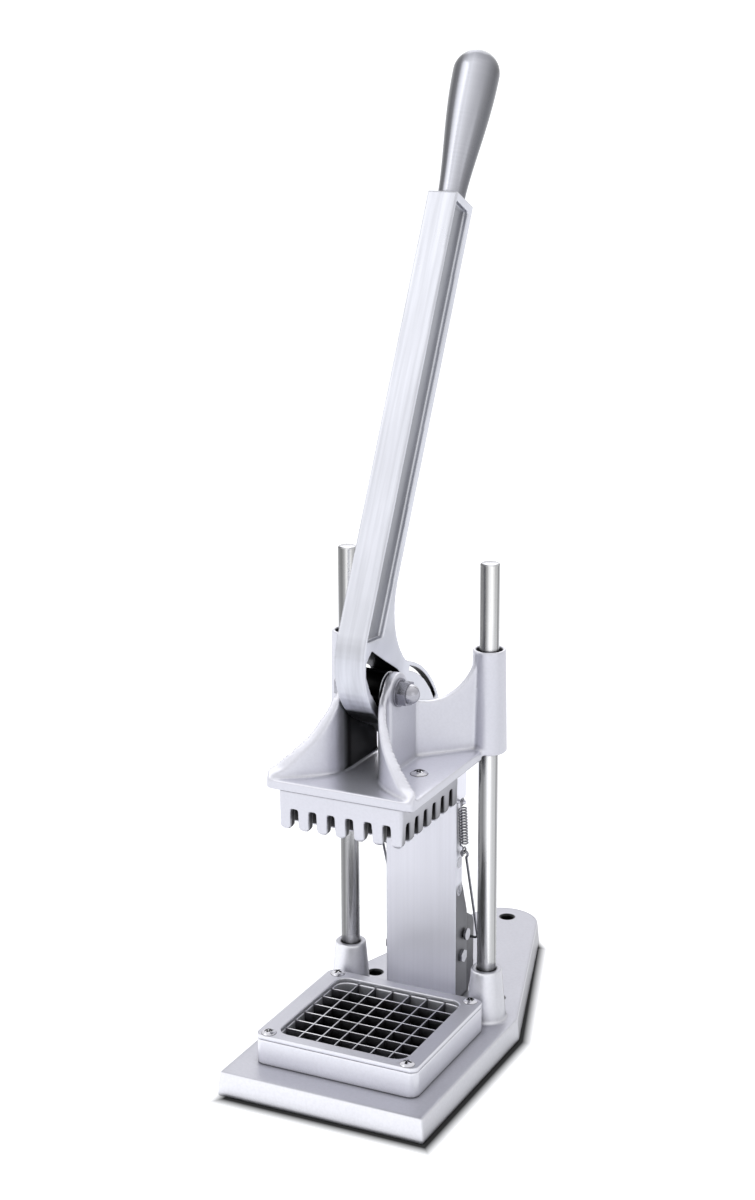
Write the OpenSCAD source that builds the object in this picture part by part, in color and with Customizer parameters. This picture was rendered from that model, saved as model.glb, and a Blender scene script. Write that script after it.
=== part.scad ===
// Upright french fry cutter: a cast base with a blade grid, a pusher head that slides down
// two rods, and a long lever whose foot runs in a fixed track behind the head.
// Millimetres, +Z up, +Y to the rear, the origin under the middle of the base.

/* [Base] */
// Half width of the base at its underside
base_half_w = 72.4; // [66:0.1:90]
// Reach of the base in front of the rods
base_front = 146; // [140:0.5:190]
// Distance from the rods back to the centre of the rounded rear end
base_nose_y = 145.4; // [130:0.5:200]
// Radius of the rounded rear end at the underside
base_nose_r = 27.2; // [20:0.1:36]
// Thickness of the base casting
base_h = 16.4; // [14:0.1:24]
// Draft of the base's sides from the underside to the top
base_draft = 1.5; // [0.5:0.1:3]
// How far behind the rods the straight sides end
base_bend_y = 5; // [0:0.5:12]
// Wall left round the hollow under the rear of the base
base_wall = 7; // [5:0.5:10]
// Depth of the hollow under the rear of the base
base_hollow = 9; // [5:0.5:11]
// Radius of the three screw-down holes
mount_hole_r = 4.5; // [2.5:0.1:5.5]
// Half spacing of the two side screw-down holes
mount_half_x = 46; // [42:0.5:50]
// Distance of the side screw-down holes behind the rods
mount_side_y = 28.7; // [24:0.1:40]
// Distance of the rear screw-down hole behind the rods
mount_rear_y = 154.5; // [140:0.5:160]

/* [Rods] */
// Radius of each guide rod
rod_r = 6.35; // [5:0.05:8]
// Half spacing of the guide rods
rod_half_x = 50.3; // [48:0.1:58]
// Height of the tops of the guide rods
rod_top = 329.2; // [300:0.1:360]
// Height of the tops of the cast sockets
socket_top = 51.7; // [44:0.1:53]
// Radius of a socket at its top
socket_top_r = 10.3; // [9:0.1:11]
// Radius of a socket at its foot
socket_foot_r = 13.4; // [11.5:0.1:14]
// Thickness of casting left under a rod
socket_floor = 6; // [4:0.5:9]

/* [Blade block] */
// Distance between neighbouring blades
blade_pitch = 12.7; // [11.5:0.1:12.8]
// Number of cells along each side of the grid
cell_count = 7; // [5:1:7]
// Thickness of a blade
blade_t = 0.9; // [0.6:0.1:1.4]
// Height of a blade
blade_h = 12; // [8:0.5:14]
// Length of blade held in the block past the opening
blade_tail = 4; // [2:0.5:5]
// Half width of the block
block_half_w = 56.8; // [56:0.1:62]
// Depth of the block from front to rear
block_d = 106.7; // [106:0.1:112]
// Height of the block with its cover plate
block_h = 20.3; // [18:0.1:26]
// Thickness of the cover plate
cover_t = 3.2; // [2:0.1:5]
// Radius of the block's upright corners
block_corner_r = 6; // [3:0.5:10]
// Distance of the middle of the grid in front of the rods
grid_y = 70.7; // [70:0.1:74]
// Extra room between the outer cells and the opening's edge, on each side
opening_room = 0.6; // [0.4:0.1:1.5]
// Radius of the opening's corners
opening_corner_r = 8; // [2:0.5:8.5]
// Half spacing of the cover screws across the block
cover_screw_half_x = 48.8; // [47.5:0.1:51]
// Half spacing of the cover screws from front to rear
cover_screw_half_y = 48.2; // [47.8:0.1:49]
// Radius of a cover screw's head
cover_head_r = 5; // [3.5:0.1:5.4]

/* [Guard] */
// Half width of the guard channel
guard_half_w = 25.8; // [24:0.1:30]
// Distance of the guard's front face behind the rods
guard_y = 5; // [4:0.1:8]
// Gap between the base and the guard's lower edge
guard_gap = 3.6; // [1:0.1:12]
// Height of the guard's upper edge
guard_top = 212; // [205:0.5:216]
// Thickness of the guard's sheet
guard_t = 2; // [1.2:0.1:2.5]
// Depth of the guard's side flanges at mid height
flange_d = 9.5; // [8:0.1:11]
// Depth of the side flanges at their wide ends
flange_wide_d = 16; // [13:0.1:20]
// Thickness of the bracket that carries the guard
bracket_t = 3; // [2:0.1:4]
// Radius of the bracket's fasteners
bracket_bolt_r = 2.5; // [2:0.1:3.5]

/* [Springs] */
// Radius of a spring's coil, to the middle of the wire
spring_coil_r = 2.6; // [2.2:0.1:2.9]
// Radius of the spring wire
spring_wire_r = 0.55; // [0.4:0.05:0.6]
// Distance between neighbouring coils
spring_pitch = 2.1; // [1.9:0.1:2.4]
// Number of coils
spring_turns = 13; // [8:1:14]
// Radius of the long hook wire under each spring
link_wire_r = 0.9; // [0.6:0.05:1.1]

/* [Head] */
// Height of the top of the head's plate when raised
plate_top = 207.5; // [206:0.1:210]
// Thickness of the head's plate
plate_t = 6.5; // [5:0.1:7]
// Half width of the head's plate
plate_half_w = 50.6; // [48:0.1:52]
// Reach of the head's plate in front of the rods
plate_front = 114.5; // [113:0.1:118]
// Ledge left in front of the head's flaring walls
flare_ledge = 1; // [0.5:0.1:8]
// Distance of the plate's rear edge in front of the rods
plate_rear = 3; // [2:0.1:6]
// Radius of a guide sleeve at its foot
sleeve_foot_r = 11.8; // [10.8:0.1:13]
// Radius of a guide sleeve at its top
sleeve_top_r = 10.6; // [9.8:0.1:11.5]
// Height of the tops of the guide sleeves
sleeve_top = 273; // [262:0.5:280]
// Wall of the bushes inside the sleeves
bush_wall = 2; // [1.2:0.1:2.4]
// Distance from the pivot to the rods, forwards
pivot_y = 64; // [62:0.1:66]
// Height of the pivot
pivot_z = 258; // [255:0.1:262]
// Thickness of a cheek
cheek_t = 6; // [4.5:0.1:7]
// Radius of the rounded ear round the pivot
ear_r = 12.5; // [11:0.1:14]
// Thickness of the head's other walls
wall_t = 5; // [4:0.1:6]

/* [Pusher] */
// Height of a tooth, from its tip to the root of the notches
tooth_h = 14.6; // [12:0.1:15]
// Half width of a tooth at its root
tooth_root_half = 3.9; // [3.8:0.05:4.8]
// Radius of a tooth's rounded tip
tooth_tip_r = 3.4; // [2.6:0.05:3.8]
// Thickness of the solid band over the teeth
band_h = 11.7; // [9:0.1:12]

/* [Lever] */
// Lean of the lever to the rear when raised, in degrees
lever_lean = 27; // [24:0.5:30]
// Half width of the lever
lever_half_w = 10.2; // [9.5:0.1:10.4]
// Depth of the lever's bar from front to rear
bar_d = 27; // [23:0.1:30]
// Distance of the bar's front face in front of the pivot's line
bar_front = 45.2; // [42:0.1:48]
// Distance from the pivot to the top of the bar
bar_top = 310.5; // [260:0.5:340]
// Width of the bar's rear rim and of the rim at its top
rim_w = 5.5; // [4:0.1:7]
// Width of the bar's narrow rim beside its front face
front_rim_w = 1.8; // [1:0.1:4]
// Depth of the recessed sides of the bar
groove_d = 3.6; // [2:0.1:4.6]
// Thickness of the rim behind the foot's curved slot
brow_rim_w = 2.8; // [2:0.1:4]
// Width of the foot's curved slot
brow_slot_w = 3.2; // [2:0.1:4]
// Radius of the pivot bolt
pivot_bolt_r = 4; // [3:0.1:4.6]
// Wall of the bush in the lever's hub
hub_bush_wall = 2.5; // [1.5:0.1:3]
// Distance across the flats of the pivot's nut and bolt head
pivot_hex_w = 14.5; // [13:0.1:16]

/* [Grip] */
// Length of the grip
grip_len = 99; // [80:0.5:120]
// Radius of the grip's neck
neck_r = 8.8; // [7.5:0.1:10]
// Largest radius of the grip
grip_r = 15; // [11:0.1:18]

/* [Motion] */
// Travel of the head from raised to lowered
travel = 150; // [150:0.5:151]
// Swing of the lever over the whole travel, in degrees
swing = 95; // [92:0.5:97]
// Radius from the pivot to the track pin
pin_swing_r = 80; // [78:0.1:81]
// Angle of the track pin below the pivot's level when raised, in degrees
pin_drop = 43; // [42:0.5:45]
// Radius of the track pin
track_pin_r = 4; // [3:0.1:4.4]
// Thickness of the fixed track plate
track_t = 8; // [6:0.1:8.2]
// Wall of the track plate round its slot
track_wall = 4.5; // [3.5:0.1:4.8]

/* [Hidden] */

// Gap of a running fit, of a close fixed fit, and of parts that pass each other
run_gap = 0.05;
fit_gap = 0.03;
free_gap = 0.3;
// Overrun of cuts
cut = 1;

// The rods stand a little in front of the middle of the base
rod_y = (base_front - base_nose_y - base_nose_r) / 2;
base_top_half_w = base_half_w - base_draft;
base_top_nose_r = base_nose_r - base_draft;
opening_half = cell_count * blade_pitch / 2 + opening_room;
block_rear = grid_y - block_d / 2;
block_top = base_h + block_h;
cover_z = block_top - cover_t;
blade_top = cover_z - fit_gap;
blade_z = blade_top - blade_h;
cover_screw_r = cover_head_r / 2;
cover_head_h = 2.2;
ratio = travel / (swing * PI / 180);
plate_z = plate_top - plate_t;
band_z = plate_z - band_h;
tooth_z = band_z - tooth_h;
pusher_half = (cell_count - 1) * blade_pitch / 2 + tooth_root_half;
cheek_in = lever_half_w + 1.1;
cheek_out = cheek_in + cheek_t;
fork_half = track_t / 2 + free_gap * 2;
slot_half = track_pin_r + free_gap;
bush_r = rod_r + run_gap + bush_wall;
hub_bush_r = pivot_bolt_r + run_gap + hub_bush_wall;
rod_colour = [0.80, 0.81, 0.84];
cast_colour = [0.70, 0.70, 0.75];
bright_colour = [0.86, 0.87, 0.90];
dark_colour = [0.32, 0.32, 0.35];

// Places that are given from the rods
module at_rods() { translate([0, rod_y, 0]) children(); }

// A flat outline in Y and Z, drawn as x and y, made t thick across X about x_mid
module side_on(t, x_mid = 0) {
    translate([x_mid, 0, 0]) rotate([90, 0, 90]) linear_extrude(t, center = true) children();
}

// An outline in X and Z, made d deep along Y about y_mid
module front_on(d, y_mid = 0) {
    translate([0, y_mid, 0]) rotate([90, 0, 0]) linear_extrude(d, center = true) children();
}

module rounded_rect(half_x, half_y, r) {
    square([2 * half_x, 2 * (half_y - r)], center = true);
    square([2 * (half_x - r), 2 * half_y], center = true);
    for (x = [-1, 1], y = [-1, 1])
        translate([x * (half_x - r), y * (half_y - r)]) circle(r = r, $fn = 48);
}

// Points on an arc about c, from angle a to angle b in n steps
function arc(c, r, a, b, n) =
    [for (i = [0:n]) c + r * [cos(a + (b - a) * i / n), sin(a + (b - a) * i / n)]];

// Base

module base_outline(half_w, front, nose_r) {
    side = atan2(half_w - nose_r, base_nose_y - base_bend_y);
    polygon(concat([[-half_w, -front], [half_w, -front], [half_w, base_bend_y]],
        arc([0, base_nose_y], nose_r, side, 180 - side, 24), [[-half_w, base_bend_y]]));
}

module base_casting() {
    slab = 0.4;
    socket_h = socket_top - base_h;
    boss_r = mount_hole_r + base_wall / 2;
    color(cast_colour) at_rods() difference() {
        union() {
            hull() {
                linear_extrude(slab) base_outline(base_half_w, base_front, base_nose_r);
                translate([0, 0, base_h - slab]) linear_extrude(slab)
                    base_outline(base_top_half_w, base_front - base_draft, base_top_nose_r);
            }
            for (s = [-1, 1]) translate([s * rod_half_x, 0, base_h - slab])
                cylinder(h = socket_h + slab, r1 = socket_foot_r, r2 = socket_top_r, $fn = 64);
        }
        for (s = [-1, 1]) {
            translate([s * rod_half_x, 0, socket_floor])
                cylinder(h = socket_top, r = rod_r + fit_gap, $fn = 64);
            translate([s * rod_half_x, 0, -cut])
                cylinder(h = socket_floor + 2 * cut, r = rod_bolt_r + free_gap, $fn = 32);
            translate([s * rod_half_x, 0, -cut])
                cylinder(h = rod_bolt_head_h + cut, r = rod_bolt_head_r + free_gap, $fn = 48);
            translate([s * mount_half_x, mount_side_y, -cut])
                cylinder(h = base_h + 2 * cut, r = mount_hole_r, $fn = 48);
        }
        translate([0, mount_rear_y, -cut])
            cylinder(h = base_h + 2 * cut, r = mount_hole_r, $fn = 48);
        translate([0, -grid_y, -cut]) linear_extrude(base_h + 2 * cut)
            rounded_rect(opening_half, opening_half, opening_corner_r);
        for (s = [-1, 1]) translate([s * cover_screw_half_x, -grid_y, base_h / 2])
            for (t = [-1, 1]) translate([0, t * cover_screw_half_y, 0])
                cylinder(h = base_h, r = cover_screw_r + fit_gap, $fn = 32);
        for (s = [-1, 1]) translate([s * foot_bolt_x, foot_bolt_y, base_h / 2])
            cylinder(h = base_h, r = bracket_bolt_r + fit_gap, $fn = 32);
        translate([0, 0, -cut]) linear_extrude(base_hollow + cut) difference() {
            polygon([[-base_half_w + 2 * base_wall, mount_side_y + boss_r],
                [base_half_w - 2 * base_wall, mount_side_y + boss_r],
                [base_nose_r - base_wall, base_nose_y - boss_r],
                [base_wall - base_nose_r, base_nose_y - boss_r]]);
            translate([0, (mount_side_y + base_nose_y) / 2])
                square([base_wall, base_nose_y], center = true);
        }
    }
}

rod_bolt_r = 3;
rod_bolt_head_r = 5;
rod_bolt_head_h = 3.5;
rod_bolt_in = 14;

module guide_rod(s) {
    tip = 1;
    color(rod_colour) at_rods() translate([s * rod_half_x, 0, 0]) difference() {
        union() {
            translate([0, 0, socket_floor])
                cylinder(h = rod_top - socket_floor - tip, r = rod_r, $fn = 64);
            translate([0, 0, rod_top - tip])
                cylinder(h = tip, r1 = rod_r, r2 = rod_r - tip, $fn = 64);
        }
        translate([0, 0, socket_floor - cut])
            cylinder(h = rod_bolt_in + cut, r = rod_bolt_r + fit_gap, $fn = 32);
    }
}

module guide_rod_left() { guide_rod(-1); }
module guide_rod_right() { guide_rod(1); }

module rod_retaining_bolts() {
    lift = 0.5;
    color(dark_colour) at_rods() for (s = [-1, 1]) translate([s * rod_half_x, 0, 0]) {
        difference() {
            translate([0, 0, lift])
                cylinder(h = rod_bolt_head_h - lift, r = rod_bolt_head_r, $fn = 48);
            cylinder(h = rod_bolt_head_h / 2 + lift, r = rod_bolt_r, $fn = 6);
        }
        translate([0, 0, rod_bolt_head_h])
            cylinder(h = socket_floor + rod_bolt_in - rod_bolt_head_h - cut, r = rod_bolt_r,
                $fn = 32);
    }
}

// Blade block

module block_plan() {
    difference() {
        translate([0, -block_rear - block_d / 2])
            rounded_rect(block_half_w, block_d / 2, block_corner_r);
        translate([0, -grid_y])
            rounded_rect(opening_half, opening_half, opening_corner_r);
        for (x = [-1, 1], y = [-1, 1])
            translate([x * cover_screw_half_x, -grid_y + y * cover_screw_half_y])
                circle(r = cover_screw_r + fit_gap, $fn = 32);
    }
}

blade_count = cell_count - 1;
blade_reach = opening_half + blade_tail;
blade_seat_w = blade_t + 4 * fit_gap;
function blade_at(i) = (i - (blade_count - 1) / 2) * blade_pitch;

module blade_block() {
    seat_d = 2 * blade_reach + 4 * fit_gap;
    color(cast_colour) at_rods() difference() {
        translate([0, 0, base_h]) linear_extrude(cover_z - base_h) block_plan();
        for (i = [0:blade_count - 1]) translate([0, -grid_y, blade_z - fit_gap + blade_h]) {
            translate([blade_at(i), 0, 0]) cube([blade_seat_w, seat_d, 2 * blade_h], center = true);
            translate([0, blade_at(i), 0]) cube([seat_d, blade_seat_w, 2 * blade_h], center = true);
        }
    }
}

module cover_plate() {
    color(cast_colour) at_rods() translate([0, 0, cover_z]) linear_extrude(cover_t) block_plan();
}

// A pan head with a cross recess, its underside at zero
module pan_head(r, h) {
    dome_r = (r * r + h * h) / (2 * h);
    recess_w = r / 4;
    difference() {
        rotate_extrude($fn = 48) intersection() {
            square([r, h]);
            translate([0, h - dome_r]) circle(r = dome_r, $fn = 96);
        }
        for (a = [0, 90]) rotate(a) translate([0, 0, h])
            cube([1.2 * r, recess_w, h], center = true);
    }
}

module cover_screws() {
    color(bright_colour) at_rods() for (x = [-1, 1], y = [-1, 1])
        translate([x * cover_screw_half_x, -grid_y + y * cover_screw_half_y, block_top]) {
            rotate(30 * x + 20 * y) pan_head(cover_head_r, cover_head_h);
            mirror([0, 0, 1])
                cylinder(h = block_h + base_h / 2 - cut, r = cover_screw_r, $fn = 32);
        }
}

module blade(lap_z) {
    lap_w = blade_t + 4 * fit_gap;
    translate([0, -grid_y, blade_z]) difference() {
        translate([-blade_t / 2, -blade_reach, 0]) cube([blade_t, 2 * blade_reach, blade_h]);
        for (i = [0:blade_count - 1]) translate([0, blade_at(i), lap_z])
            cube([2 * lap_w, lap_w, blade_h + 2 * fit_gap], center = true);
    }
}

module blades_lengthwise() {
    color(bright_colour) at_rods() for (i = [0:blade_count - 1])
        translate([blade_at(i), 0, 0]) blade(blade_h);
}

module blades_crosswise() {
    color(bright_colour) at_rods() translate([0, -grid_y, 0]) rotate(90) translate([0, grid_y, 0])
        for (i = [0:blade_count - 1]) translate([blade_at(i), 0, 0]) blade(0);
}

// Guard, bracket and track

guard_back = guard_y + guard_t;
guard_bottom = base_h + guard_gap;
// The notch that the lever's foot passes through
notch_room = 1.4;
notch_half = lever_half_w + notch_room;
notch_z = 156;
// Height of the flanges' wide part at the top, and where their wide foot ends
flange_top_h = 53;
flange_step_z = guard_top - flange_top_h;
flange_low_z = 80;
// Places of the fasteners behind the guard's front face, and their heights
side_bolt_back = 8.5;
side_bolt_y = guard_y + side_bolt_back;
side_bolt_z = 50;
cross_pin_back = 13;
cross_pin_y = guard_y + cross_pin_back;
cross_pin_z = 64;
foot_bolt_x = 13;
foot_bolt_back = 24;
foot_bolt_y = guard_y + foot_bolt_back;
track_bolt_back = 5.6;
track_bolt_y = guard_y + track_bolt_back;
track_bolt_low_z = 98;
track_bolt_high_z = 118;
track_bolt_zs = [track_bolt_low_z, track_bolt_high_z];
track_bolt_r = 2;
track_bolt_margin = 10;
// Rear edge and top of the bracket's ears
ear_back = 34;
ear_rear = guard_y + ear_back;
ear_top = 81;
// Depth of the track plate's stem
stem_d = 14;

module guard_flange_outline() {
    lead = 4;
    foot_d = flange_wide_d + guard_t;
    polygon([[guard_y, guard_bottom], [guard_y + foot_d, guard_bottom],
        [guard_y + foot_d, flange_low_z], [guard_y + flange_d, flange_low_z + 6 * lead],
        [guard_y + flange_d, flange_step_z], [guard_y + flange_wide_d, flange_step_z + lead],
        [guard_y + flange_wide_d, guard_top], [guard_y, guard_top]]);
}

module guard_channel() {
    color(cast_colour) at_rods() difference() {
        union() {
            translate([-guard_half_w, guard_y, guard_bottom])
                cube([2 * guard_half_w, guard_t, guard_top - guard_bottom]);
            for (s = [-1, 1]) side_on(guard_t, s * (guard_half_w - guard_t / 2))
                guard_flange_outline();
            for (s = [-1, 1]) translate([s * guard_half_w, spring_stud[0], spring_stud[1]])
                rotate([0, 90 * s, 0]) translate([0, 0, -guard_t / 2])
                    cylinder(h = spring_stud_reach, r = spring_stud_r, $fn = 32);
        }
        translate([-notch_half, guard_y - cut, notch_z])
            cube([2 * notch_half, guard_t + 2 * cut, guard_top]);
        across(side_bolt_y, side_bolt_z, bracket_bolt_r + fit_gap, guard_half_w + cut);
        across(cross_pin_y, cross_pin_z, bracket_bolt_r + fit_gap, guard_half_w + cut);
        for (z = track_bolt_zs)
            across(track_bolt_y, z, track_bolt_r + fit_gap, guard_half_w + cut);
        for (z = track_bolt_zs, s = [-1, 1])
            translate([s * guard_half_w, track_bolt_y, z]) rotate([0, -90 * s, 0])
                translate([0, 0, -fit_gap])
                    cylinder(h = guard_t, r1 = track_bolt_r + guard_t, r2 = track_bolt_r,
                        $fn = 48);
    }
}

// A cylinder along X through both sides, half_len each way
module across(y, z, r, half_len) {
    translate([-half_len, y, z]) rotate([0, 90, 0]) cylinder(h = 2 * half_len, r = r, $fn = 48);
}

ear_out = guard_half_w - guard_t - fit_gap;
link_low_back = 29;
link_low_y = guard_y + link_low_back;
link_low_z = 55;

module guard_bracket() {
    foot_gap = 2;
    foot_front = guard_back + foot_gap;
    corner = 9;
    color(dark_colour) at_rods() difference() {
        union() {
            translate([-ear_out, foot_front, base_h])
                cube([2 * ear_out, ear_rear - foot_front - corner, bracket_t]);
            for (s = [-1, 1]) side_on(bracket_t, s * (ear_out - bracket_t / 2))
                polygon(concat([[foot_front, base_h], [ear_rear - corner, base_h]],
                    arc([ear_rear - corner, base_h + 2 * corner], corner, -60, 20, 6),
                    arc([ear_rear - corner, ear_top - 2 * corner], corner, 0, 60, 6),
                    [[foot_front + corner, ear_top], [foot_front, ear_top - corner]]));
        }
        across(side_bolt_y, side_bolt_z, bracket_bolt_r + fit_gap, guard_half_w);
        across(cross_pin_y, cross_pin_z, bracket_bolt_r + fit_gap, guard_half_w);
        across(link_low_y, link_low_z, link_wire_r + free_gap, guard_half_w);
        for (s = [-1, 1]) translate([s * foot_bolt_x, foot_bolt_y, base_h - cut])
            cylinder(h = bracket_t + 2 * cut, r = bracket_bolt_r + fit_gap, $fn = 32);
    }
}

module hex_head(w, h) { cylinder(h = h, r = w / sqrt(3), $fn = 6); }

module guard_bracket_bolts() {
    color(bright_colour) at_rods() for (s = [-1, 1])
        translate([s * foot_bolt_x, foot_bolt_y, base_h + bracket_t]) {
            hex_head(3.2 * bracket_bolt_r, bracket_bolt_r);
            mirror([0, 0, 1])
                cylinder(h = bracket_t + base_h / 2 - cut, r = bracket_bolt_r, $fn = 32);
        }
}

module guard_side_bolts() {
    inner = ear_out - bracket_t;
    nut_h = bracket_bolt_r;
    color(bright_colour) at_rods() for (s = [-1, 1]) translate([0, side_bolt_y, side_bolt_z])
        rotate([0, 90 * s, 0]) {
            translate([0, 0, guard_half_w]) hex_head(3.2 * bracket_bolt_r, bracket_bolt_r);
            translate([0, 0, inner - nut_h - cut])
                cylinder(h = guard_half_w - inner + nut_h + cut, r = bracket_bolt_r, $fn = 32);
            translate([0, 0, inner - nut_h]) hex_head(3.2 * bracket_bolt_r, nut_h);
        }
}

module guard_cross_pin() {
    over = 3;
    head = 1.5;
    color(bright_colour) at_rods() {
        across(cross_pin_y, cross_pin_z, bracket_bolt_r, guard_half_w + over);
        for (s = [-1, 1]) translate([s * (guard_half_w + over / 2 + head / 2), 0, 0])
            across(cross_pin_y, cross_pin_z, bracket_bolt_r * 1.6, head / 2);
    }
}

// Centre of the track pin, from the rods, after the lever has turned by t degrees
function pin_at(t) = [-pivot_y + pin_swing_r * cos(t - pin_drop),
    pivot_z - ratio * t * PI / 180 + pin_swing_r * sin(t - pin_drop)];
// Direction across the pin's path there
function pin_side(t) = let (d = [-pin_swing_r * sin(t - pin_drop), pin_swing_r * cos(t - pin_drop) - ratio])
    [-d[1], d[0]] / norm(d);
// Steps along the path from its upper end, finer at the sharp turn in its middle
track_steps = 18;
function turn_at(i) = let (s = i / track_steps - 1)
    pin_drop + sign(s) * (s < 0 ? pin_drop : swing - pin_drop) * pow(abs(s), 1.6);
function track_outer(half) = [for (i = [0:2 * track_steps]) let (t = turn_at(i))
    pin_at(t) + half * pin_side(t)];
function track_inner(half) = [for (i = [0:2 * track_steps]) let (t = turn_at(2 * track_steps - i),
    p = pin_at(t) - half * pin_side(t))
    if ((p[1] - pin_at(pin_drop)[1]) * (pin_drop - t) > 0) p];

// Round ends of the path, joined to its outer side
function low_end(half) = let (a = atan2(pin_side(swing)[1], pin_side(swing)[0]))
    arc(pin_at(swing), half, a, a - 180, 12);
function high_end(half) = let (a = atan2(pin_side(0)[1], pin_side(0)[0]))
    arc(pin_at(0), half, a + 180, a, 12);

module track_plate() {
    stem_front = guard_back + fit_gap;
    stem_z = track_bolt_zs[0] - track_bolt_margin;
    half = slot_half + track_wall;
    color(dark_colour) at_rods() difference() {
        side_on(track_t) polygon(concat([for (i = [0:track_steps]) track_outer(half)[i]],
            [[stem_front + stem_d, stem_z], [stem_front, stem_z], [stem_front, notch_z + cut]],
            low_end(half), high_end(half)));
        side_on(track_t + 2 * cut) polygon(concat(track_outer(slot_half), low_end(slot_half),
            track_inner(slot_half), high_end(slot_half)));
        for (z = track_bolt_zs) across(track_bolt_y, z, track_bolt_r + fit_gap, track_t);
    }
}

module track_bolts() {
    sink = 0.1;
    seat = guard_half_w - sink;
    head_h = guard_t - 2 * sink;
    color(bright_colour) at_rods() for (z = track_bolt_zs) {
        across(track_bolt_y, z, track_bolt_r, seat - cut);
        for (s = [-1, 1]) translate([s * seat, track_bolt_y, z]) rotate([0, -90 * s, 0])
            cylinder(h = head_h, r1 = track_bolt_r + head_h, r2 = track_bolt_r, $fn = 48);
    }
}

module track_spacers() {
    spacer_wall = 1.6;
    inner = track_t / 2 + fit_gap;
    outer = guard_half_w - guard_t - fit_gap;
    color(bright_colour) at_rods() for (z = track_bolt_zs, s = [-1, 1])
        translate([s * (inner + outer) / 2, track_bolt_y, z]) rotate([0, 90, 0]) difference() {
            cylinder(h = outer - inner, r = track_bolt_r + spacer_wall, center = true, $fn = 32);
            cylinder(h = outer, r = track_bolt_r + fit_gap, center = true, $fn = 32);
        }
}

// Springs and their long hook wires

spring_x = guard_half_w + spring_coil_r + 2 * spring_wire_r;
spring_inset = 1.5;
spring_top = [guard_y + spring_inset, flange_step_z];
spring_lean = 6;
hook_r = 2.3;
spring_stud_r = hook_r - spring_wire_r - free_gap;
spring_stud_reach = guard_t / 2 + 2 * spring_coil_r + 2 * spring_wire_r;
coil_rings = 8;
function unit(v) = v / norm(v);
function tangents(p) = [for (i = [0:len(p) - 1])
    unit(p[min(i + 1, len(p) - 1)] - p[max(i - 1, 0)])];
// Cross directions carried along a path without twisting
function carried(t) = [for (i = 0, n = unit(cross(t[0], [0.3, 0.2, 1])); i < len(t);
    i = i + 1, n = let (u = t[min(i, len(t) - 1)]) unit(n - (n * u) * u)) n];
function apart(p, near) = min([for (i = [0:len(p) - 1], j = [i + near:1:len(p) - 1])
    norm(p[i] - p[j])]);

// One closed tube of radius r along the points p
module tube(p, r, sides = 6) {
    t = tangents(p);
    n = carried(t);
    rings = [for (i = [0:len(p) - 1]) for (k = [0:sides - 1]) let (a = 360 * k / sides)
        p[i] + r * (cos(a) * n[i] + sin(a) * cross(t[i], n[i]))];
    last = (len(p) - 1) * sides;
    polyhedron(points = concat(rings, [p[0], p[len(p) - 1]]), faces = concat(
        [for (i = [0:len(p) - 2]) for (k = [0:sides - 1]) for (h = [0, 1]) let (a = i * sides,
            m = (k + 1) % sides) h == 0 ? [a + k, a + m, a + sides + m]
                : [a + k, a + sides + m, a + sides + k]],
        [for (k = [0:sides - 1]) [last + sides, (k + 1) % sides, k]],
        [for (k = [0:sides - 1]) [last + sides + 1, last + k, last + (k + 1) % sides]]));
}

// The spring's own axis runs down along -Z from its top coil, its hooks lie in the Y-Z plane
spring_len = spring_turns * spring_pitch;
hook_neck = 1.6;
hook_drop = spring_coil_r + hook_neck;
spring_stud = spring_top + hook_drop * [-sin(spring_lean), cos(spring_lean)];
function coil_points() = [for (i = [0:spring_turns * coil_rings]) let (a = 360 * i / coil_rings)
    [spring_coil_r * sin(a), -spring_coil_r * cos(a), -spring_pitch * i / coil_rings]];
function top_hook() = [for (i = [0:10]) [0, -hook_r * cos(300 - 300 * i / 10),
    hook_drop + hook_r * sin(300 - 300 * i / 10)]];
function low_hook() = [for (i = [0:10]) [0, -hook_r * cos(300 * i / 10),
    -spring_len - hook_drop - hook_r * sin(300 * i / 10)]];
function spring_path() = concat(top_hook(), coil_points(), low_hook());

module in_spring_frame(s) {
    at_rods() translate([s * spring_x, spring_top[0], spring_top[1]])
        rotate([spring_lean, 0, 0]) children();
}

module return_spring(s) {
    color(rod_colour) in_spring_frame(s) scale([s, 1, 1]) tube(spring_path(), spring_wire_r);
}

module return_spring_left() { mirror([1, 0, 0]) return_spring(1); }
module return_spring_right() { return_spring(1); }
echo(least_gap_of_a_spring_to_itself = apart(spring_path(), 5) - 2 * spring_wire_r);

// Hooked through the spring's lower loop, straight down, and in through the bracket's ear
link_eye_z = -spring_len - hook_drop - hook_r + link_wire_r + 2 * spring_wire_r;
link_bend = 2;
function from_spring(p) = [spring_x + p[0], spring_top[0] + p[1] * cos(spring_lean)
    - p[2] * sin(spring_lean), spring_top[1] + p[1] * sin(spring_lean) + p[2] * cos(spring_lean)];
function link_eye() = [for (i = [0:12]) let (a = -60 + 300 * (1 - i / 12))
    from_spring([hook_r * cos(a), 0, link_eye_z - hook_r + hook_r * sin(a)])];
function link_path() = concat(link_eye(), [
    [spring_x, link_low_y - link_bend, link_low_z + 2 * link_bend],
    [spring_x - link_bend / 4, link_low_y - link_bend / 5, link_low_z + link_bend / 2],
    [spring_x - link_bend, link_low_y, link_low_z],
    [ear_out - bracket_t - link_bend, link_low_y, link_low_z]]);

module spring_link_right() {
    color(dark_colour) at_rods() tube(link_path(), link_wire_r, 8);
}
module spring_link_left() { mirror([1, 0, 0]) spring_link_right(); }

// Head

cheek_rear = 36;
plate_room = 0.6;
cheek_mid = cheek_in + cheek_t / 2;
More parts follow.
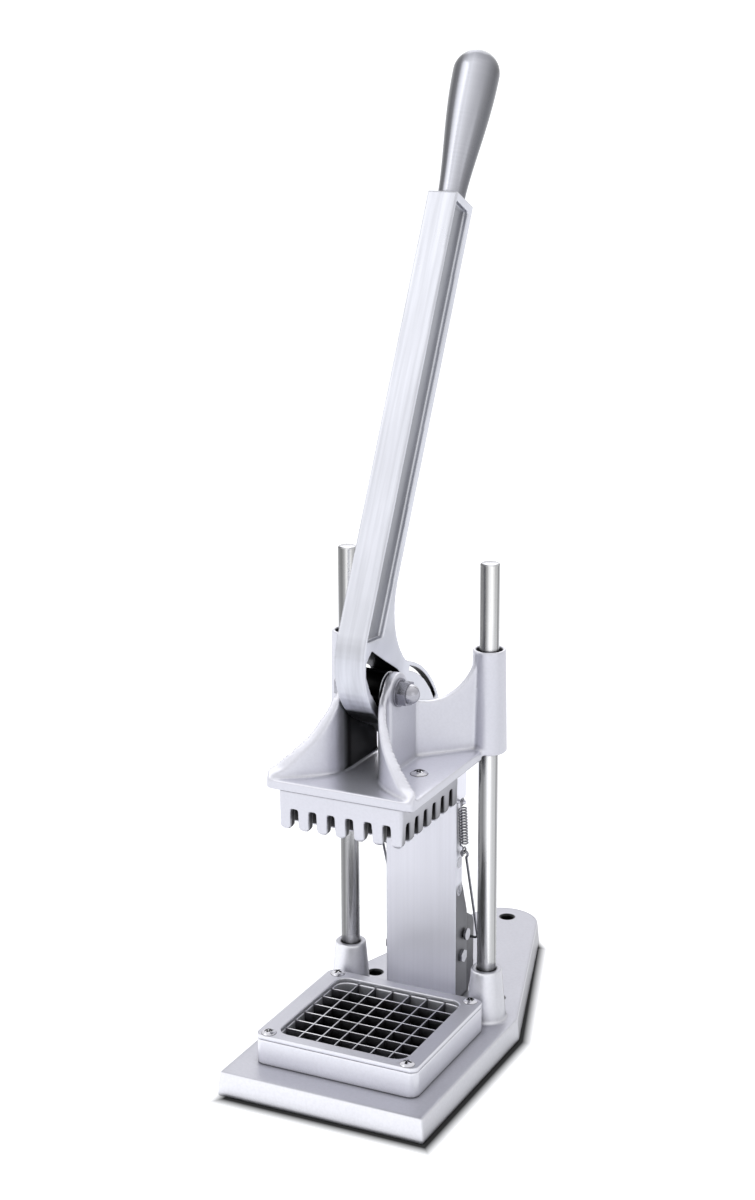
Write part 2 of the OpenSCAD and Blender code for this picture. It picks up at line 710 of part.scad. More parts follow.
// The flaring wall in front of each cheek, seen from above: its middle line runs straight
// forward from the ear and bends out to the plate's front corner
flare_steps = 16;
flare_front = plate_front - flare_ledge;
flare_bend = 2.2;
flare_root = [cheek_mid, -pivot_y - ear_r];
flare_tip = [plate_half_w - wall_t / 2, wall_t / 2 - flare_front];
function flare_at(t) = [flare_root[0] + (flare_tip[0] - flare_root[0]) * pow(t, flare_bend),
    flare_root[1] + (flare_tip[1] - flare_root[1]) * t];
function flare_side(t) = let (d = [(flare_tip[0] - flare_root[0]) * flare_bend * pow(t, flare_bend - 1),
    flare_tip[1] - flare_root[1]]) [-d[1], d[0]] / norm(d) * wall_t / 2;
// Its falling upper edge, seen from the side: shares of the way from the front edge to the
// ear, and of the height from the plate to the pivot
flare_top_shares = [[0, 0.02], [0.13, 0.13], [0.28, 0.33], [0.45, 0.53], [0.6, 0.73], [0.77, 0.95]];

module flare() {
    out = flare_side(1);
    angle = atan2(out[1], out[0]);
    intersection() {
        translate([0, 0, plate_top - cut]) linear_extrude(pivot_z + ear_r - plate_top)
            polygon(concat([[cheek_mid + wall_t / 2, -pivot_y]],
                [for (i = [0:flare_steps - 1]) flare_at(i / flare_steps) + flare_side(i / flare_steps)],
                arc(flare_tip, wall_t / 2, angle, angle - 180, 8),
                [for (i = [flare_steps - 1:-1:0]) flare_at(i / flare_steps) - flare_side(i / flare_steps)],
                [[cheek_mid - wall_t / 2, -pivot_y]]));
        side_on(3 * plate_half_w) polygon(concat([[-pivot_y, plate_z], [-flare_front - cut, plate_z],
            [-flare_front - cut, plate_top]], [for (f = flare_top_shares) [-flare_front + f[0] *
            (flare_front - pivot_y - ear_r), plate_top + f[1] * (pivot_z - plate_top)]],
            [[-pivot_y - 0.62 * ear_r, pivot_z + 0.75 * ear_r], [-pivot_y, pivot_z]]));
    }
}

module cheek_outline() {
    translate([-pivot_y, pivot_z]) circle(r = ear_r, $fn = 96);
    polygon([[-pivot_y - 0.9 * ear_r, plate_z + cut], [-cheek_rear, plate_z + cut],
        [-cheek_rear, plate_top + wing_low],
        [-cheek_rear - 0.5 * ear_r, plate_top + wing_low + 0.3 * ear_r], [-pivot_y + 0.8 * ear_r,
        pivot_z + 0.6 * ear_r], [-pivot_y - 0.9 * ear_r, pivot_z]]);
}

// Height over the plate of the lowest point of a wing's curved edge, and that edge's radius
wing_low = 36;
wing_r = 31;
wing_start = [cheek_mid, -cheek_rear - wall_t / 2];
wing_end = [rod_half_x - sleeve_top_r / 3, -sleeve_top_r / 2];

module wing() {
    d = wing_end - wing_start;
    span = norm(d);
    translate([wing_start[0], wing_start[1], 0]) rotate([90, 0, atan2(d[1], d[0])])
        linear_extrude(wall_t, center = true) difference() {
            translate([0, plate_z + cut]) square([span, sleeve_top - plate_top]);
            translate([0.27 * span, plate_top + wing_low + wing_r]) circle(r = wing_r, $fn = 96);
            translate([-span, plate_top + wing_low + 0.93 * wing_r]) square([1.3 * span, wing_r]);
        }
}

module head_casting() {
    sleeve_foot = plate_z + plate_t / 2;
    corner = 3;
    color(bright_colour) at_rods() difference() {
        union() {
            translate([0, 0, plate_z]) linear_extrude(plate_t)
                translate([0, -(plate_front + plate_rear) / 2])
                    rounded_rect(plate_half_w, (plate_front - plate_rear) / 2, corner);
            for (s = [-1, 1]) {
                translate([s * rod_half_x, 0, sleeve_foot]) cylinder(h = sleeve_top - sleeve_foot,
                    r1 = sleeve_foot_r, r2 = sleeve_top_r, $fn = 64);
                side_on(cheek_t, s * cheek_mid) cheek_outline();
            }
            flare();
            mirror([1, 0, 0]) flare();
            wing();
            mirror([1, 0, 0]) wing();
        }
        for (s = [-1, 1]) {
            translate([s * rod_half_x, 0, plate_z - cut])
                cylinder(h = sleeve_foot - plate_z + cut, r = socket_top_r + plate_room, $fn = 64);
            translate([s * rod_half_x, 0, plate_z])
                cylinder(h = sleeve_top, r = bush_r + fit_gap, $fn = 64);
            translate([s * pusher_screw_x, -pusher_screw_y, plate_z - cut])
                cylinder(h = plate_t + 2 * cut, r = pusher_screw_r + fit_gap, $fn = 32);
        }
        translate([-cheek_in, -grid_y + band_half + fit_gap, plate_z - cut])
            cube([2 * cheek_in, grid_y, plate_t + 2 * cut]);
        across(-pivot_y, pivot_z, pivot_bolt_r + fit_gap, plate_half_w);
        for (s = [-1, 1]) translate([s * cheek_out, -pivot_y, pivot_z]) rotate([0, 90 * s, 0])
            cylinder(h = plate_half_w, r = pivot_washer_r + free_gap, $fn = 64);
    }
}

bush_foot = plate_top;
bush_recess = 6;

module sleeve_bush(s) {
    color(dark_colour) at_rods() translate([s * rod_half_x, 0, bush_foot]) difference() {
        cylinder(h = sleeve_top - bush_recess - bush_foot, r = bush_r, $fn = 64);
        translate([0, 0, -cut]) cylinder(h = sleeve_top, r = rod_r + run_gap, $fn = 64);
    }
}

module sleeve_bush_left() { sleeve_bush(-1); }
module sleeve_bush_right() { sleeve_bush(1); }

// Pusher

band_draft = 0.3;
band_half = pusher_half + band_draft;
pusher_corner_r = 3;
pusher_screw_x = 32;
pusher_screw_y = 66;
pusher_screw_r = 2.5;
pusher_head_r = 5.8;
pusher_head_h = 2.6;

// Seven rounded teeth under a solid band, drawn across the pusher
module comb() {
    tip_z = tooth_z + tooth_tip_r;
    polygon([[-pusher_half, band_z], [pusher_half, band_z], [band_half, plate_z],
        [-band_half, plate_z]]);
    for (i = [0:cell_count - 1]) translate([(i - (cell_count - 1) / 2) * blade_pitch, 0]) {
        polygon([[-tooth_root_half, band_z], [-tooth_tip_r, tip_z], [tooth_tip_r, tip_z],
            [tooth_root_half, band_z]]);
        translate([0, tip_z]) circle(r = tooth_tip_r, $fn = 32);
    }
}

module pusher_block() {
    color(bright_colour) at_rods() translate([0, -grid_y, 0]) difference() {
        intersection() {
            front_on(3 * band_half) comb();
            rotate(90) front_on(3 * band_half) comb();
            translate([0, 0, tooth_z - cut]) linear_extrude(plate_top - tooth_z)
                rounded_rect(band_half, band_half, pusher_corner_r);
        }
        for (s = [-1, 1]) translate([s * pusher_screw_x, grid_y - pusher_screw_y, band_z + cut])
            cylinder(h = band_h, r = pusher_screw_r + fit_gap, $fn = 32);
    }
}

module pusher_screws() {
    color(rod_colour) at_rods() for (s = [-1, 1])
        translate([s * pusher_screw_x, -pusher_screw_y, plate_top]) {
            rotate(35 * s) pan_head(pusher_head_r, pusher_head_h);
            mirror([0, 0, 1])
                cylinder(h = plate_t + band_h - 2 * cut, r = pusher_screw_r, $fn = 32);
        }
}

// Pivot

washer_t = 0.8;
nut_washer_t = 1.4;
pivot_washer_r = 0.62 * pivot_hex_w;
nut_h = 6;

module pivot_bolt() {
    head_h = 5.5;
    reach = cheek_out + nut_washer_t + nut_h;
    color(rod_colour) at_rods() {
        translate([-cheek_out - nut_washer_t - head_h, -pivot_y, pivot_z])
            rotate([0, 90, 0]) hex_head(pivot_hex_w, head_h);
        translate([-cheek_out - nut_washer_t, -pivot_y, pivot_z]) rotate([0, 90, 0])
            cylinder(h = cheek_out + nut_washer_t + reach - cut, r = pivot_bolt_r, $fn = 48);
    }
}

module acorn_nut() {
    dome_r = pivot_hex_w * 0.44;
    color(bright_colour) at_rods() translate([cheek_out + nut_washer_t, -pivot_y, pivot_z])
        rotate([0, 90, 0]) rotate(18) difference() {
            union() {
                hex_head(pivot_hex_w, nut_h);
                translate([0, 0, nut_h]) intersection() {
                    sphere(r = dome_r, $fn = 48);
                    cylinder(h = dome_r, r = dome_r, $fn = 48);
                }
            }
            translate([0, 0, -cut]) cylinder(h = nut_h + cut, r = pivot_bolt_r + fit_gap, $fn = 48);
        }
}

module ring_across(x, t, r_out, r_in) {
    translate([x - t / 2, -pivot_y, pivot_z]) rotate([0, 90, 0]) difference() {
        cylinder(h = t, r = r_out, $fn = 64);
        translate([0, 0, -cut]) cylinder(h = t + 2 * cut, r = r_in, $fn = 64);
    }
}

module pivot_washers() {
    thrust_x = cheek_in - washer_t / 2 - fit_gap;
    outer_x = cheek_out + nut_washer_t / 2;
    color(rod_colour) at_rods() for (s = [-1, 1]) {
        ring_across(s * thrust_x, washer_t, 1.3 * hub_bush_r, pivot_bolt_r + fit_gap);
        ring_across(s * outer_x, nut_washer_t - fit_gap, pivot_washer_r, pivot_bolt_r + fit_gap);
    }
}

module hub_bush() {
    color(dark_colour) at_rods() ring_across(0, 2 * lever_half_w - fit_gap, hub_bush_r,
        pivot_bolt_r + run_gap);
}

// Lever. Its outline is drawn in its own frame: x to the rear across the bar, y along the bar,
// zero on the pivot

bar_rear = bar_front - bar_d;
// The rounded heel in front of the hub: where it starts along the bar and its middle behind
// the pivot's line
heel_start = 23;
heel_back = 3;
// Half depth of the foot, and the walls round the track pin and round the hub's bush
foot_half = 20.2;
boss_wall = 5;
boss_r = track_pin_r + boss_wall;
hub_wall = 6;
hub_r = hub_bush_r + hub_wall;
pin_place = pin_swing_r * [cos(lever_lean - pin_drop), sin(lever_lean - pin_drop)];
// The hollow curve behind the bar, the foot's rounded back, and the solid middle of its fork
fillet_r = 45;
brow_r = 71.5;
brow_centre = [36, -47];
web_solid_r = 36;
// Where the bar's recess ends above the pivot, at its front and at its rear
groove_end_front = 21.5;
groove_end_rear = 29.5;
// The window's corners, as shares of the bar's reach in front of the pivot's line
window_shares = [[-0.77, 0.4], [-0.86, 0.2], [-0.77, 0.03], [-0.55, -0.13], [-0.27, -0.25],
    [0, -0.31], [0.27, 0.29], [0.18, 0.33], [-0.29, 0.36]];

module in_lever_frame() {
    translate([0, rod_y - pivot_y, pivot_z]) rotate([-lever_lean, 0, 0]) children();
}

function heel_at(a) = [heel_back + (bar_front + heel_back) * cos(a),
    heel_start + (heel_start + foot_half) * sin(a)];

module lever_outline() {
    fillet_c = [fillet_r - bar_rear, heel_start + fillet_r - cut];
    polygon(concat([[-bar_front, bar_top]], [for (a = [180:6:270]) heel_at(a)],
        [[heel_back + 1.3 * foot_half, -foot_half]],
        arc(pin_place, boss_r, 255, 350, 12), arc(brow_centre, brow_r, 53, 100, 12),
        arc(fillet_c, fillet_r, 257, 180, 12), [[-bar_rear, bar_top]]));
}

// The window through the foot, in front of the hub
module foot_window() {
    difference() {
        polygon(window_shares * bar_front);
        circle(r = hub_r, $fn = 48);
    }
}

module bar_recess() {
    front = front_rim_w - bar_front;
    rear = -bar_rear - rim_w;
    polygon([[front, groove_end_front], [rear, groove_end_rear], [rear, bar_top - rim_w],
        [front, bar_top - rim_w]]);
}

// The curved slot just inside the foot's rounded back
module foot_slot() {
    outer = brow_r - brow_rim_w;
    polygon(concat(arc(brow_centre, outer, 57, 100, 14),
        arc(brow_centre, outer - brow_slot_w, 100, 57, 14)));
}

module lever_casting() {
    color(bright_colour) difference() {
        in_lever_frame() difference() {
            side_on(2 * lever_half_w) lever_outline();
            for (s = [-1, 1]) side_on(2 * groove_d, s * lever_half_w) bar_recess();
            side_on(3 * lever_half_w) foot_window();
            side_on(3 * lever_half_w) foot_slot();
            side_on(2 * fork_half) difference() {
                translate([0, -2 * foot_half]) square([2 * pin_swing_r, 4 * foot_half]);
                circle(r = web_solid_r, $fn = 96);
            }
            translate([0, grip_u, bar_top - stud_in])
                cylinder(h = stud_in + cut, r = stud_r + fit_gap, $fn = 32);
        }
        at_rods() {
            across(-pivot_y, pivot_z, hub_bush_r + fit_gap, 2 * lever_half_w);
            across(pin_at(0)[0], pin_at(0)[1], track_pin_r + fit_gap, 2 * lever_half_w);
        }
    }
}

clip_t = 0.6;
clip_wall = 1.8;

module track_pin() {
    color(rod_colour) at_rods()
        across(pin_at(0)[0], pin_at(0)[1], track_pin_r, lever_half_w + clip_t + fit_gap);
}

module track_pin_clips() {
    color(dark_colour) at_rods() for (s = [-1, 1])
        translate([s * (lever_half_w + fit_gap), pin_at(0)[0], pin_at(0)[1]])
            rotate([0, 90 * s, 0]) difference() {
                cylinder(h = clip_t, r = track_pin_r + clip_wall, $fn = 32);
                translate([0, 0, -cut])
                    cylinder(h = clip_t + 2 * cut, r = track_pin_r + fit_gap, $fn = 32);
            }
}

// Grip

grip_u = -bar_front + bar_d / 2;
stud_r = 5;
stud_in = 16;
stud_up = 30;
neck_chamfer = 0.8;
grip_steps = 20;
dome_start = grip_len - grip_r;
function grip_profile(t) = neck_r + (grip_r - neck_r) * pow(sin(90 * t), 1.5);

module in_grip_frame() { in_lever_frame() translate([0, grip_u, bar_top]) children(); }

module grip() {
    color(cast_colour) in_grip_frame() rotate_extrude($fn = 96) difference() {
        polygon(concat([[0, 0], [neck_r - neck_chamfer, 0], [neck_r, neck_chamfer]],
            [for (i = [1:grip_steps]) [grip_profile(i / grip_steps), dome_start * i / grip_steps]],
            [for (a = [6:6:90]) [grip_r * cos(a), dome_start + grip_r * sin(a)]]));
        translate([0, -cut]) square([stud_r + fit_gap, stud_up + cut + fit_gap]);
    }
}

module grip_stud() {
    color(rod_colour) in_grip_frame() translate([0, 0, fit_gap - stud_in])
        cylinder(h = stud_in + stud_up - fit_gap, r = stud_r, $fn = 32);
}

base_casting();
guide_rod_left();
guide_rod_right();
rod_retaining_bolts();
blade_block();
cover_plate();
cover_screws();
blades_crosswise();
blades_lengthwise();
guard_channel();
guard_bracket();
guard_bracket_bolts();
guard_side_bolts();
guard_cross_pin();
track_plate();
track_bolts();
track_spacers();
return_spring_left();
return_spring_right();
spring_link_left();
spring_link_right();
head_casting();
sleeve_bush_left();
sleeve_bush_right();
pusher_block();
pusher_screws();
pivot_bolt();
acorn_nut();
pivot_washers();
hub_bush();
lever_casting();
grip();
grip_stud();
track_pin();
track_pin_clips();
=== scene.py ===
"""Dresses the upright french fry cutter in cast, linished, turned and ground metal.

The cast pieces are copies of the frame's solids with their edges softened as a casting's are,
the rods, grip and springs are made anew, and every other piece keeps its solid and gets a
finish of its own. All sizes are in metres, in the frame's own axes: +Z up, +Y to the rear.
"""

import logging
import math
from dataclasses import dataclass
from enum import Enum

import bmesh
import bpy
from mathutils import Matrix, Vector


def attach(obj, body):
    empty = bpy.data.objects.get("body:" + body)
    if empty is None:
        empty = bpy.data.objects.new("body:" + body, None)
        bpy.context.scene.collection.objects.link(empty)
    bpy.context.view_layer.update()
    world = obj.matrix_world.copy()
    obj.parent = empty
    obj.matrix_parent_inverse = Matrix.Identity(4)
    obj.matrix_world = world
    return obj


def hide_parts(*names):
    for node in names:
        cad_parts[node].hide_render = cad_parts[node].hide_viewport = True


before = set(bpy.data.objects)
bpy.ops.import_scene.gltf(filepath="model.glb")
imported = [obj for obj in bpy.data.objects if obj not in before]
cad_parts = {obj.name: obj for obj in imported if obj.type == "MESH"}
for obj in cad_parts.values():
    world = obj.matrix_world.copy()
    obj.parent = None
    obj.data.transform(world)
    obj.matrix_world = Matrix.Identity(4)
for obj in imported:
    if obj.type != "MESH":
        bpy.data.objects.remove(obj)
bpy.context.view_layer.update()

LOG = logging.getLogger("fry_cutter")
MM = 0.001
ROD_Y = -13.3 * MM
PIVOT = Vector((0.0, -77.3 * MM, 258.0 * MM))
LEVER_LEAN = math.radians(27.0)
GRID_Y = ROD_Y - 70.7 * MM
PUSHER_SCREW_Y = ROD_Y - 66.0 * MM

WELD = 0.001 * MM
FADE = 2.0 * MM
GRAIN_HEIGHT = 0.05 * MM
# Painted shade in crevices: how far it reaches and how dark it gets.
CREVICE_REACH = 9.0 * MM
CREVICE_SHADE = 0.35
# Painted reflection: how dark faces seen edge-on get.
OUTLINE_DARK = 0.45
# Colour of edges lightened as rubbed metal and as a painted highlight.
RUBBED_AND_SHEEN = (0.95, 0.95, 0.97)


class Body(Enum):
    """The bodies that pieces ride on."""

    FRAME = "frame"
    CARRIAGE = "carriage"
    LEVER = "lever"


class Grain(Enum):
    """How the fine marks of a finish run over a piece."""

    CAST = "cast"
    UPRIGHT = "upright"
    LINISHED = "linished"
    TURNED = "turned"


class NodeTools:
    """Small helpers that place and join shader nodes."""

    @staticmethod
    def add(tree: bpy.types.NodeTree, kind: str, **values: object) -> bpy.types.Node:
        """Adds one node and sets its properties.

        Args:
            tree: The node tree to add to.
            kind: The node's type name.
            values: Properties of the node, by name.

        Returns:
            The new node.
        """
        node = tree.nodes.new(kind)
        for name, value in values.items():
            setattr(node, name, value)
        return node

    @staticmethod
    def noise(tree: bpy.types.NodeTree, scale: float, detail: float) -> bpy.types.Node:
        """Adds a noise texture.

        Args:
            tree: The node tree to add to.
            scale: The noise's scale.
            detail: The noise's detail.

        Returns:
            The noise node.
        """
        node = tree.nodes.new("ShaderNodeTexNoise")
        node.inputs["Scale"].default_value = scale
        node.inputs["Detail"].default_value = detail
        return node

    @staticmethod
    def spread(tree: bpy.types.NodeTree, source: bpy.types.NodeSocket,
               low: tuple[float, float], high: tuple[float, float]) -> bpy.types.NodeSocket:
        """Maps a value from one range to another.

        Args:
            tree: The node tree to add to.
            source: The socket with the value.
            low: The value that comes in and what it becomes at the low end.
            high: The same at the high end.

        Returns:
            The socket with the mapped value.
        """
        node = tree.nodes.new("ShaderNodeMapRange")
        node.inputs["From Min"].default_value, node.inputs["To Min"].default_value = low
        node.inputs["From Max"].default_value, node.inputs["To Max"].default_value = high
        tree.links.new(source, node.inputs["Value"])
        return node.outputs["Result"]


    @staticmethod
    def axis(tree: bpy.types.NodeTree, vector: bpy.types.NodeSocket,
             name: str) -> bpy.types.NodeSocket:
        """Takes one part of a vector.

        Args:
            tree: The node tree to add to.
            vector: The vector.
            name: The name of the part: X, Y or Z.

        Returns:
            The socket with that part.
        """
        node = tree.nodes.new("ShaderNodeSeparateXYZ")
        tree.links.new(vector, node.inputs[0])
        return node.outputs[name]

    @staticmethod
    def math(tree: bpy.types.NodeTree, operation: str, first: bpy.types.NodeSocket,
             second: bpy.types.NodeSocket | float | None = None) -> bpy.types.NodeSocket:
        """Joins two values.

        Args:
            tree: The node tree to add to.
            operation: The math operation.
            first: The first value.
            second: A second value: a fixed number, a socket or None.

        Returns:
            The socket with the result.
        """
        node = NodeTools.add(tree, "ShaderNodeMath", operation=operation)
        tree.links.new(first, node.inputs[0])
        if isinstance(second, float):
            node.inputs[1].default_value = second
        elif second is not None:
            tree.links.new(second, node.inputs[1])
        return node.outputs[0]

    @staticmethod
    def product(tree: bpy.types.NodeTree,
                *factors: bpy.types.NodeSocket) -> bpy.types.NodeSocket:
        """Multiplies any number of values.

        Args:
            tree: The node tree to add to.
            factors: The values.

        Returns:
            The socket with the product.
        """
        total = factors[0]
        for factor in factors[1:]:
            total = NodeTools.math(tree, "MULTIPLY", total, factor)
        return total


class SharedEffects:
    """Node groups that several finishes use: grain, mottle, worn edges with a painted highlight,
    and concave corners.
    """

    def __init__(self) -> None:
        """Builds each group once."""
        self.grain = self._grain()
        self.tone = self._tone()
        self.wear_and_sheen = self._wear_and_sheen()

    @staticmethod
    def _sockets(tree: bpy.types.NodeTree, inputs: dict[str, str],
                 outputs: dict[str, str]) -> tuple[bpy.types.Node, bpy.types.Node]:
        """Gives a group its sockets.

        Args:
            tree: The group's tree.
            inputs: Socket types by input name.
            outputs: Socket types by output name.

        Returns:
            The group's input node and output node.
        """
        for name, kind in inputs.items():
            tree.interface.new_socket(name, in_out="INPUT", socket_type=kind)
        for name, kind in outputs.items():
            tree.interface.new_socket(name, in_out="OUTPUT", socket_type=kind)
        return tree.nodes.new("NodeGroupInput"), tree.nodes.new("NodeGroupOutput")

    def _grain(self) -> bpy.types.NodeTree:
        """Builds fine marks stretched along one direction.

        Returns:
            The group. Its Height drives a bump and its Streak a tone.
        """
        tree = bpy.data.node_groups.new("fine_grain", "ShaderNodeTree")
        given, out = self._sockets(
            tree, {"Vector": "NodeSocketVector", "Stretch": "NodeSocketVector"},
            {"Height": "NodeSocketFloat", "Streak": "NodeSocketFloat"})
        scaled = NodeTools.add(tree, "ShaderNodeVectorMath", operation="MULTIPLY")
        tree.links.new(given.outputs["Vector"], scaled.inputs[0])
        tree.links.new(given.outputs["Stretch"], scaled.inputs[1])
        fine = NodeTools.noise(tree, 1.0, 3.0)
        broad = NodeTools.noise(tree, 0.22, 2.0)
        for node in (fine, broad):
            tree.links.new(scaled.outputs[0], node.inputs["Vector"])
        tree.links.new(fine.outputs["Fac"], out.inputs["Height"])
        tree.links.new(broad.outputs["Fac"], out.inputs["Streak"])
        return tree

    def _tone(self) -> bpy.types.NodeTree:
        """Builds the cloudy tone of cast or rubbed metal.

        Returns:
            The group, which puts out a value round one half.
        """
        tree = bpy.data.node_groups.new("cloudy_tone", "ShaderNodeTree")
        given, out = self._sockets(tree, {"Vector": "NodeSocketVector"},
                                   {"Tone": "NodeSocketFloat"})
        cloud = NodeTools.noise(tree, 24.0, 4.0)
        tree.links.new(given.outputs["Vector"], cloud.inputs["Vector"])
        tree.links.new(cloud.outputs["Fac"], out.inputs["Tone"])
        return tree

    def _wear_and_sheen(self) -> bpy.types.NodeTree:
        """Builds a mask of rubbed edges, which also carry a painted highlight, and one of concave
        corners.

        Returns:
            The group with its Edge and Hollow masks.
        """
        tree = bpy.data.node_groups.new("worn_and_sheen_edges", "ShaderNodeTree")
        _, out = self._sockets(tree, {}, {"Edge": "NodeSocketFloat", "Hollow": "NodeSocketFloat"})
        shape = NodeTools.add(tree, "ShaderNodeNewGeometry")
        bend = shape.outputs["Pointiness"]
        tree.links.new(NodeTools.spread(tree, bend, (0.52, 0.0), (0.62, 1.0)),
                       out.inputs["Edge"])
        tree.links.new(NodeTools.spread(tree, bend, (0.48, 0.0), (0.40, 1.0)),
                       out.inputs["Hollow"])
        return tree


@dataclass(frozen=True)
class Pit:
    """A hole whose inward walls get painted shade.

    Everything within its depth darkens where no direction is across it, and everything from
    the radius `ring` outwards where it has one.
    """

    centre: tuple[float, float, float]
    across: tuple[float, float, float]
    reach: float
    dark: float = 0.03
    depth: tuple[float, float] | None = None
    half: float = 1.0
    ring: float = 0.0
    front: float = -1.0


@dataclass(frozen=True)
class Slot:
    """A box about X = 0 whose upright walls get painted shade."""

    half: float
    front: float
    dark: float = 0.06
    back: float = 1.0
    top: float = 1.0


@dataclass(frozen=True)
class Cross:
    """Painted shade in the cross recesses and round the rims of screws placed alike about X = 0
    and a middle line.
    """

    out_x: float
    out_y: float
    middle_y: float
    long: float
    wide: float
    rim: float
    dark: float = 0.05


@dataclass(frozen=True)
class Recess:
    """Sideways walls that darken: those nearer to X = 0 than `half` and lower than `top`."""

    half: float
    dark: float
    top: float = 1.0


@dataclass(frozen=True)
class Finish:
    """One metal finish: its colours, gloss and marks, with painted light, shade and reflections.
    """

    name: str
    # Painted light and shade: faces that look up take the top colour and the rest the side colour,
    # lighter or darker as they are lit.
    side: tuple[float, float, float]
    top: tuple[float, float, float]
    roughness: float
    metallic: float
    grain: Grain
    bump: float
    streak: float = 0.1
    # How strongly edges are lightened, as rubbed metal and as a painted highlight, and concave
    # corners darkened.
    edge: float = 0.25
    lean: float = 0.0
    # Painted shade: faces that look to +X are darkened to this factor.
    right: float = 1.0
    # Painted shade inside holes, slots and screw recesses.
    pits: tuple[Pit, ...] = ()
    slot: Slot | None = None
    cross: Cross | None = None
    # Darkens low sideways walls: painted shade in the lever's groove, a darker lower part on the
    # guard.
    recess: Recess | None = None
    # Painted reflection: bands across a round bar, by the way its faces look.
    sweep: tuple[tuple[float, float], ...] = ()
    sweep_way: tuple[float, float, float] = (0.9, 0.44, 0.0)

    STRETCHES = {
        Grain.CAST: (2600.0, 2600.0, 2600.0),
        Grain.UPRIGHT: (2400.0, 2400.0, 30.0),
        Grain.LINISHED: (1500.0, 220.0, 60.0),
        Grain.TURNED: (60.0, 60.0, 3200.0),
    }

    def build(self, shared: SharedEffects) -> bpy.types.Material:
        """Builds the finish as a material.

        Args:
            shared: The node groups that finishes share.

        Returns:
            The material.
        """
        material = bpy.data.materials.new(self.name)
        material.use_nodes = True
        tree = material.node_tree
        shader = tree.nodes["Principled BSDF"]
        shader.inputs["Metallic"].default_value = self.metallic
        place = NodeTools.add(tree, "ShaderNodeTexCoord")
        turn = NodeTools.add(tree, "ShaderNodeMapping", vector_type="POINT")
        turn.inputs["Rotation"].default_value = (self.lean, 0.0, 0.0)
        tree.links.new(place.outputs["Object"], turn.inputs["Vector"])
        grain = self._group(tree, shared.grain)
        grain.inputs["Stretch"].default_value = self.STRETCHES[self.grain]
        tone = self._group(tree, shared.tone)
        wear_and_sheen = self._group(tree, shared.wear_and_sheen)
        for node in (grain, tone):
            tree.links.new(turn.outputs["Vector"], node.inputs["Vector"])
        colour = self._colour(tree, place, grain, tone, wear_and_sheen)
        tree.links.new(colour, shader.inputs["Base Color"])
        rough = NodeTools.spread(tree, tone.outputs["Tone"], (0.3, self.roughness * 0.85),
                                 (0.7, self.roughness * 1.15))
        tree.links.new(rough, shader.inputs["Roughness"])
        bump = NodeTools.add(tree, "ShaderNodeBump")
        bump.inputs["Strength"].default_value = self.bump
        bump.inputs["Distance"].default_value = GRAIN_HEIGHT
        tree.links.new(grain.outputs["Height"], bump.inputs["Height"])
        tree.links.new(bump.outputs["Normal"], shader.inputs["Normal"])
        return material

    @staticmethod
    def _group(tree: bpy.types.NodeTree, group: bpy.types.NodeTree) -> bpy.types.Node:
        """Places a shared group in a material.

        Args:
            tree: The material's tree.
            group: The shared group.

        Returns:
            The group's node.
        """
        node = tree.nodes.new("ShaderNodeGroup")
        node.node_tree = group
        return node

    def _colour(self, tree: bpy.types.NodeTree, place: bpy.types.Node, grain: bpy.types.Node,
                tone: bpy.types.Node, wear_and_sheen: bpy.types.Node) -> bpy.types.NodeSocket:
        """Joins the side and top colours, painted lighter or darker as the faces are lit, with the
        marks, the worn edges and the painted shade and reflections.

        Args:
            tree: The material's tree.
            place: The texture coordinates.
            grain: The grain group's node.
            tone: The tone group's node.
            wear_and_sheen: The wear group's node.

        Returns:
            The socket with the finished colour.
        """
        normal = place.outputs["Normal"]
        # Painted light and shade: upward faces take the top colour, the rest the side colour.
        facing = NodeTools.spread(tree, NodeTools.axis(tree, normal, "Z"), (0.55, 0.0),
                                  (0.95, 1.0))
        base = self._mix(tree, facing, self.side, self.top)
        shades = [
            NodeTools.spread(tree, tone.outputs["Tone"], (0.3, 1.0 - 0.5 * self.streak),
                             (0.7, 1.0)),
            NodeTools.spread(tree, grain.outputs["Streak"], (0.3, 1.0 - self.streak),
                             (0.65, 1.0)),
            # Darker in concave corners.
            NodeTools.spread(tree, wear_and_sheen.outputs["Hollow"], (0.0, 1.0),
                             (1.0, 1.0 - 1.6 * self.edge)),
            # Painted shade in narrow gaps and inner corners.
            self._crevice_shade(tree),
            # Painted reflection: bands across round bars, else a dark rim on faces seen edge-on.
            self._sweep(tree, normal) if self.sweep else self._outline(tree),
        ]
        # Painted shade on faces that look to +X.
        if self.right < 1.0:
            shades.append(NodeTools.spread(tree, NodeTools.axis(tree, normal, "X"),
                                           (0.3, 1.0), (0.85, self.right)))
        marked = self._scaled(tree, base, NodeTools.product(tree, *shades))
        # Edges lightened as rubbed metal and as a painted highlight.
        rubbed_and_sheen = NodeTools.spread(tree, wear_and_sheen.outputs["Edge"], (0.0, 0.0), (1.0, self.edge))
        colour = self._mix(tree, rubbed_and_sheen, marked, RUBBED_AND_SHEEN)
        # Painted shade in holes, slots and screw recesses, and darker low sideways walls.
        dark = [self._pit(tree, place, pit) for pit in self.pits]
        if self.slot:
            dark.append(self._slot(tree, place, self.slot))
        if self.cross:
            dark.append(self._cross(tree, place, self.cross))
        if self.recess:
            dark.append(self._recess(tree, place, self.recess))
        return self._scaled(tree, colour, NodeTools.product(tree, *dark)) if dark else colour

    @staticmethod
    def _crevice_shade(tree: bpy.types.NodeTree) -> bpy.types.NodeSocket:
        """Paints shade into narrow gaps and inner corners.

        Args:
            tree: The material's tree.

        Returns:
            The socket with the factor, one on open faces.
        """
        node = NodeTools.add(tree, "ShaderNodeAmbientOcclusion", samples=8)
        node.inputs["Distance"].default_value = CREVICE_REACH
        return NodeTools.spread(tree, node.outputs["AO"], (0.15, CREVICE_SHADE), (0.8, 1.0))

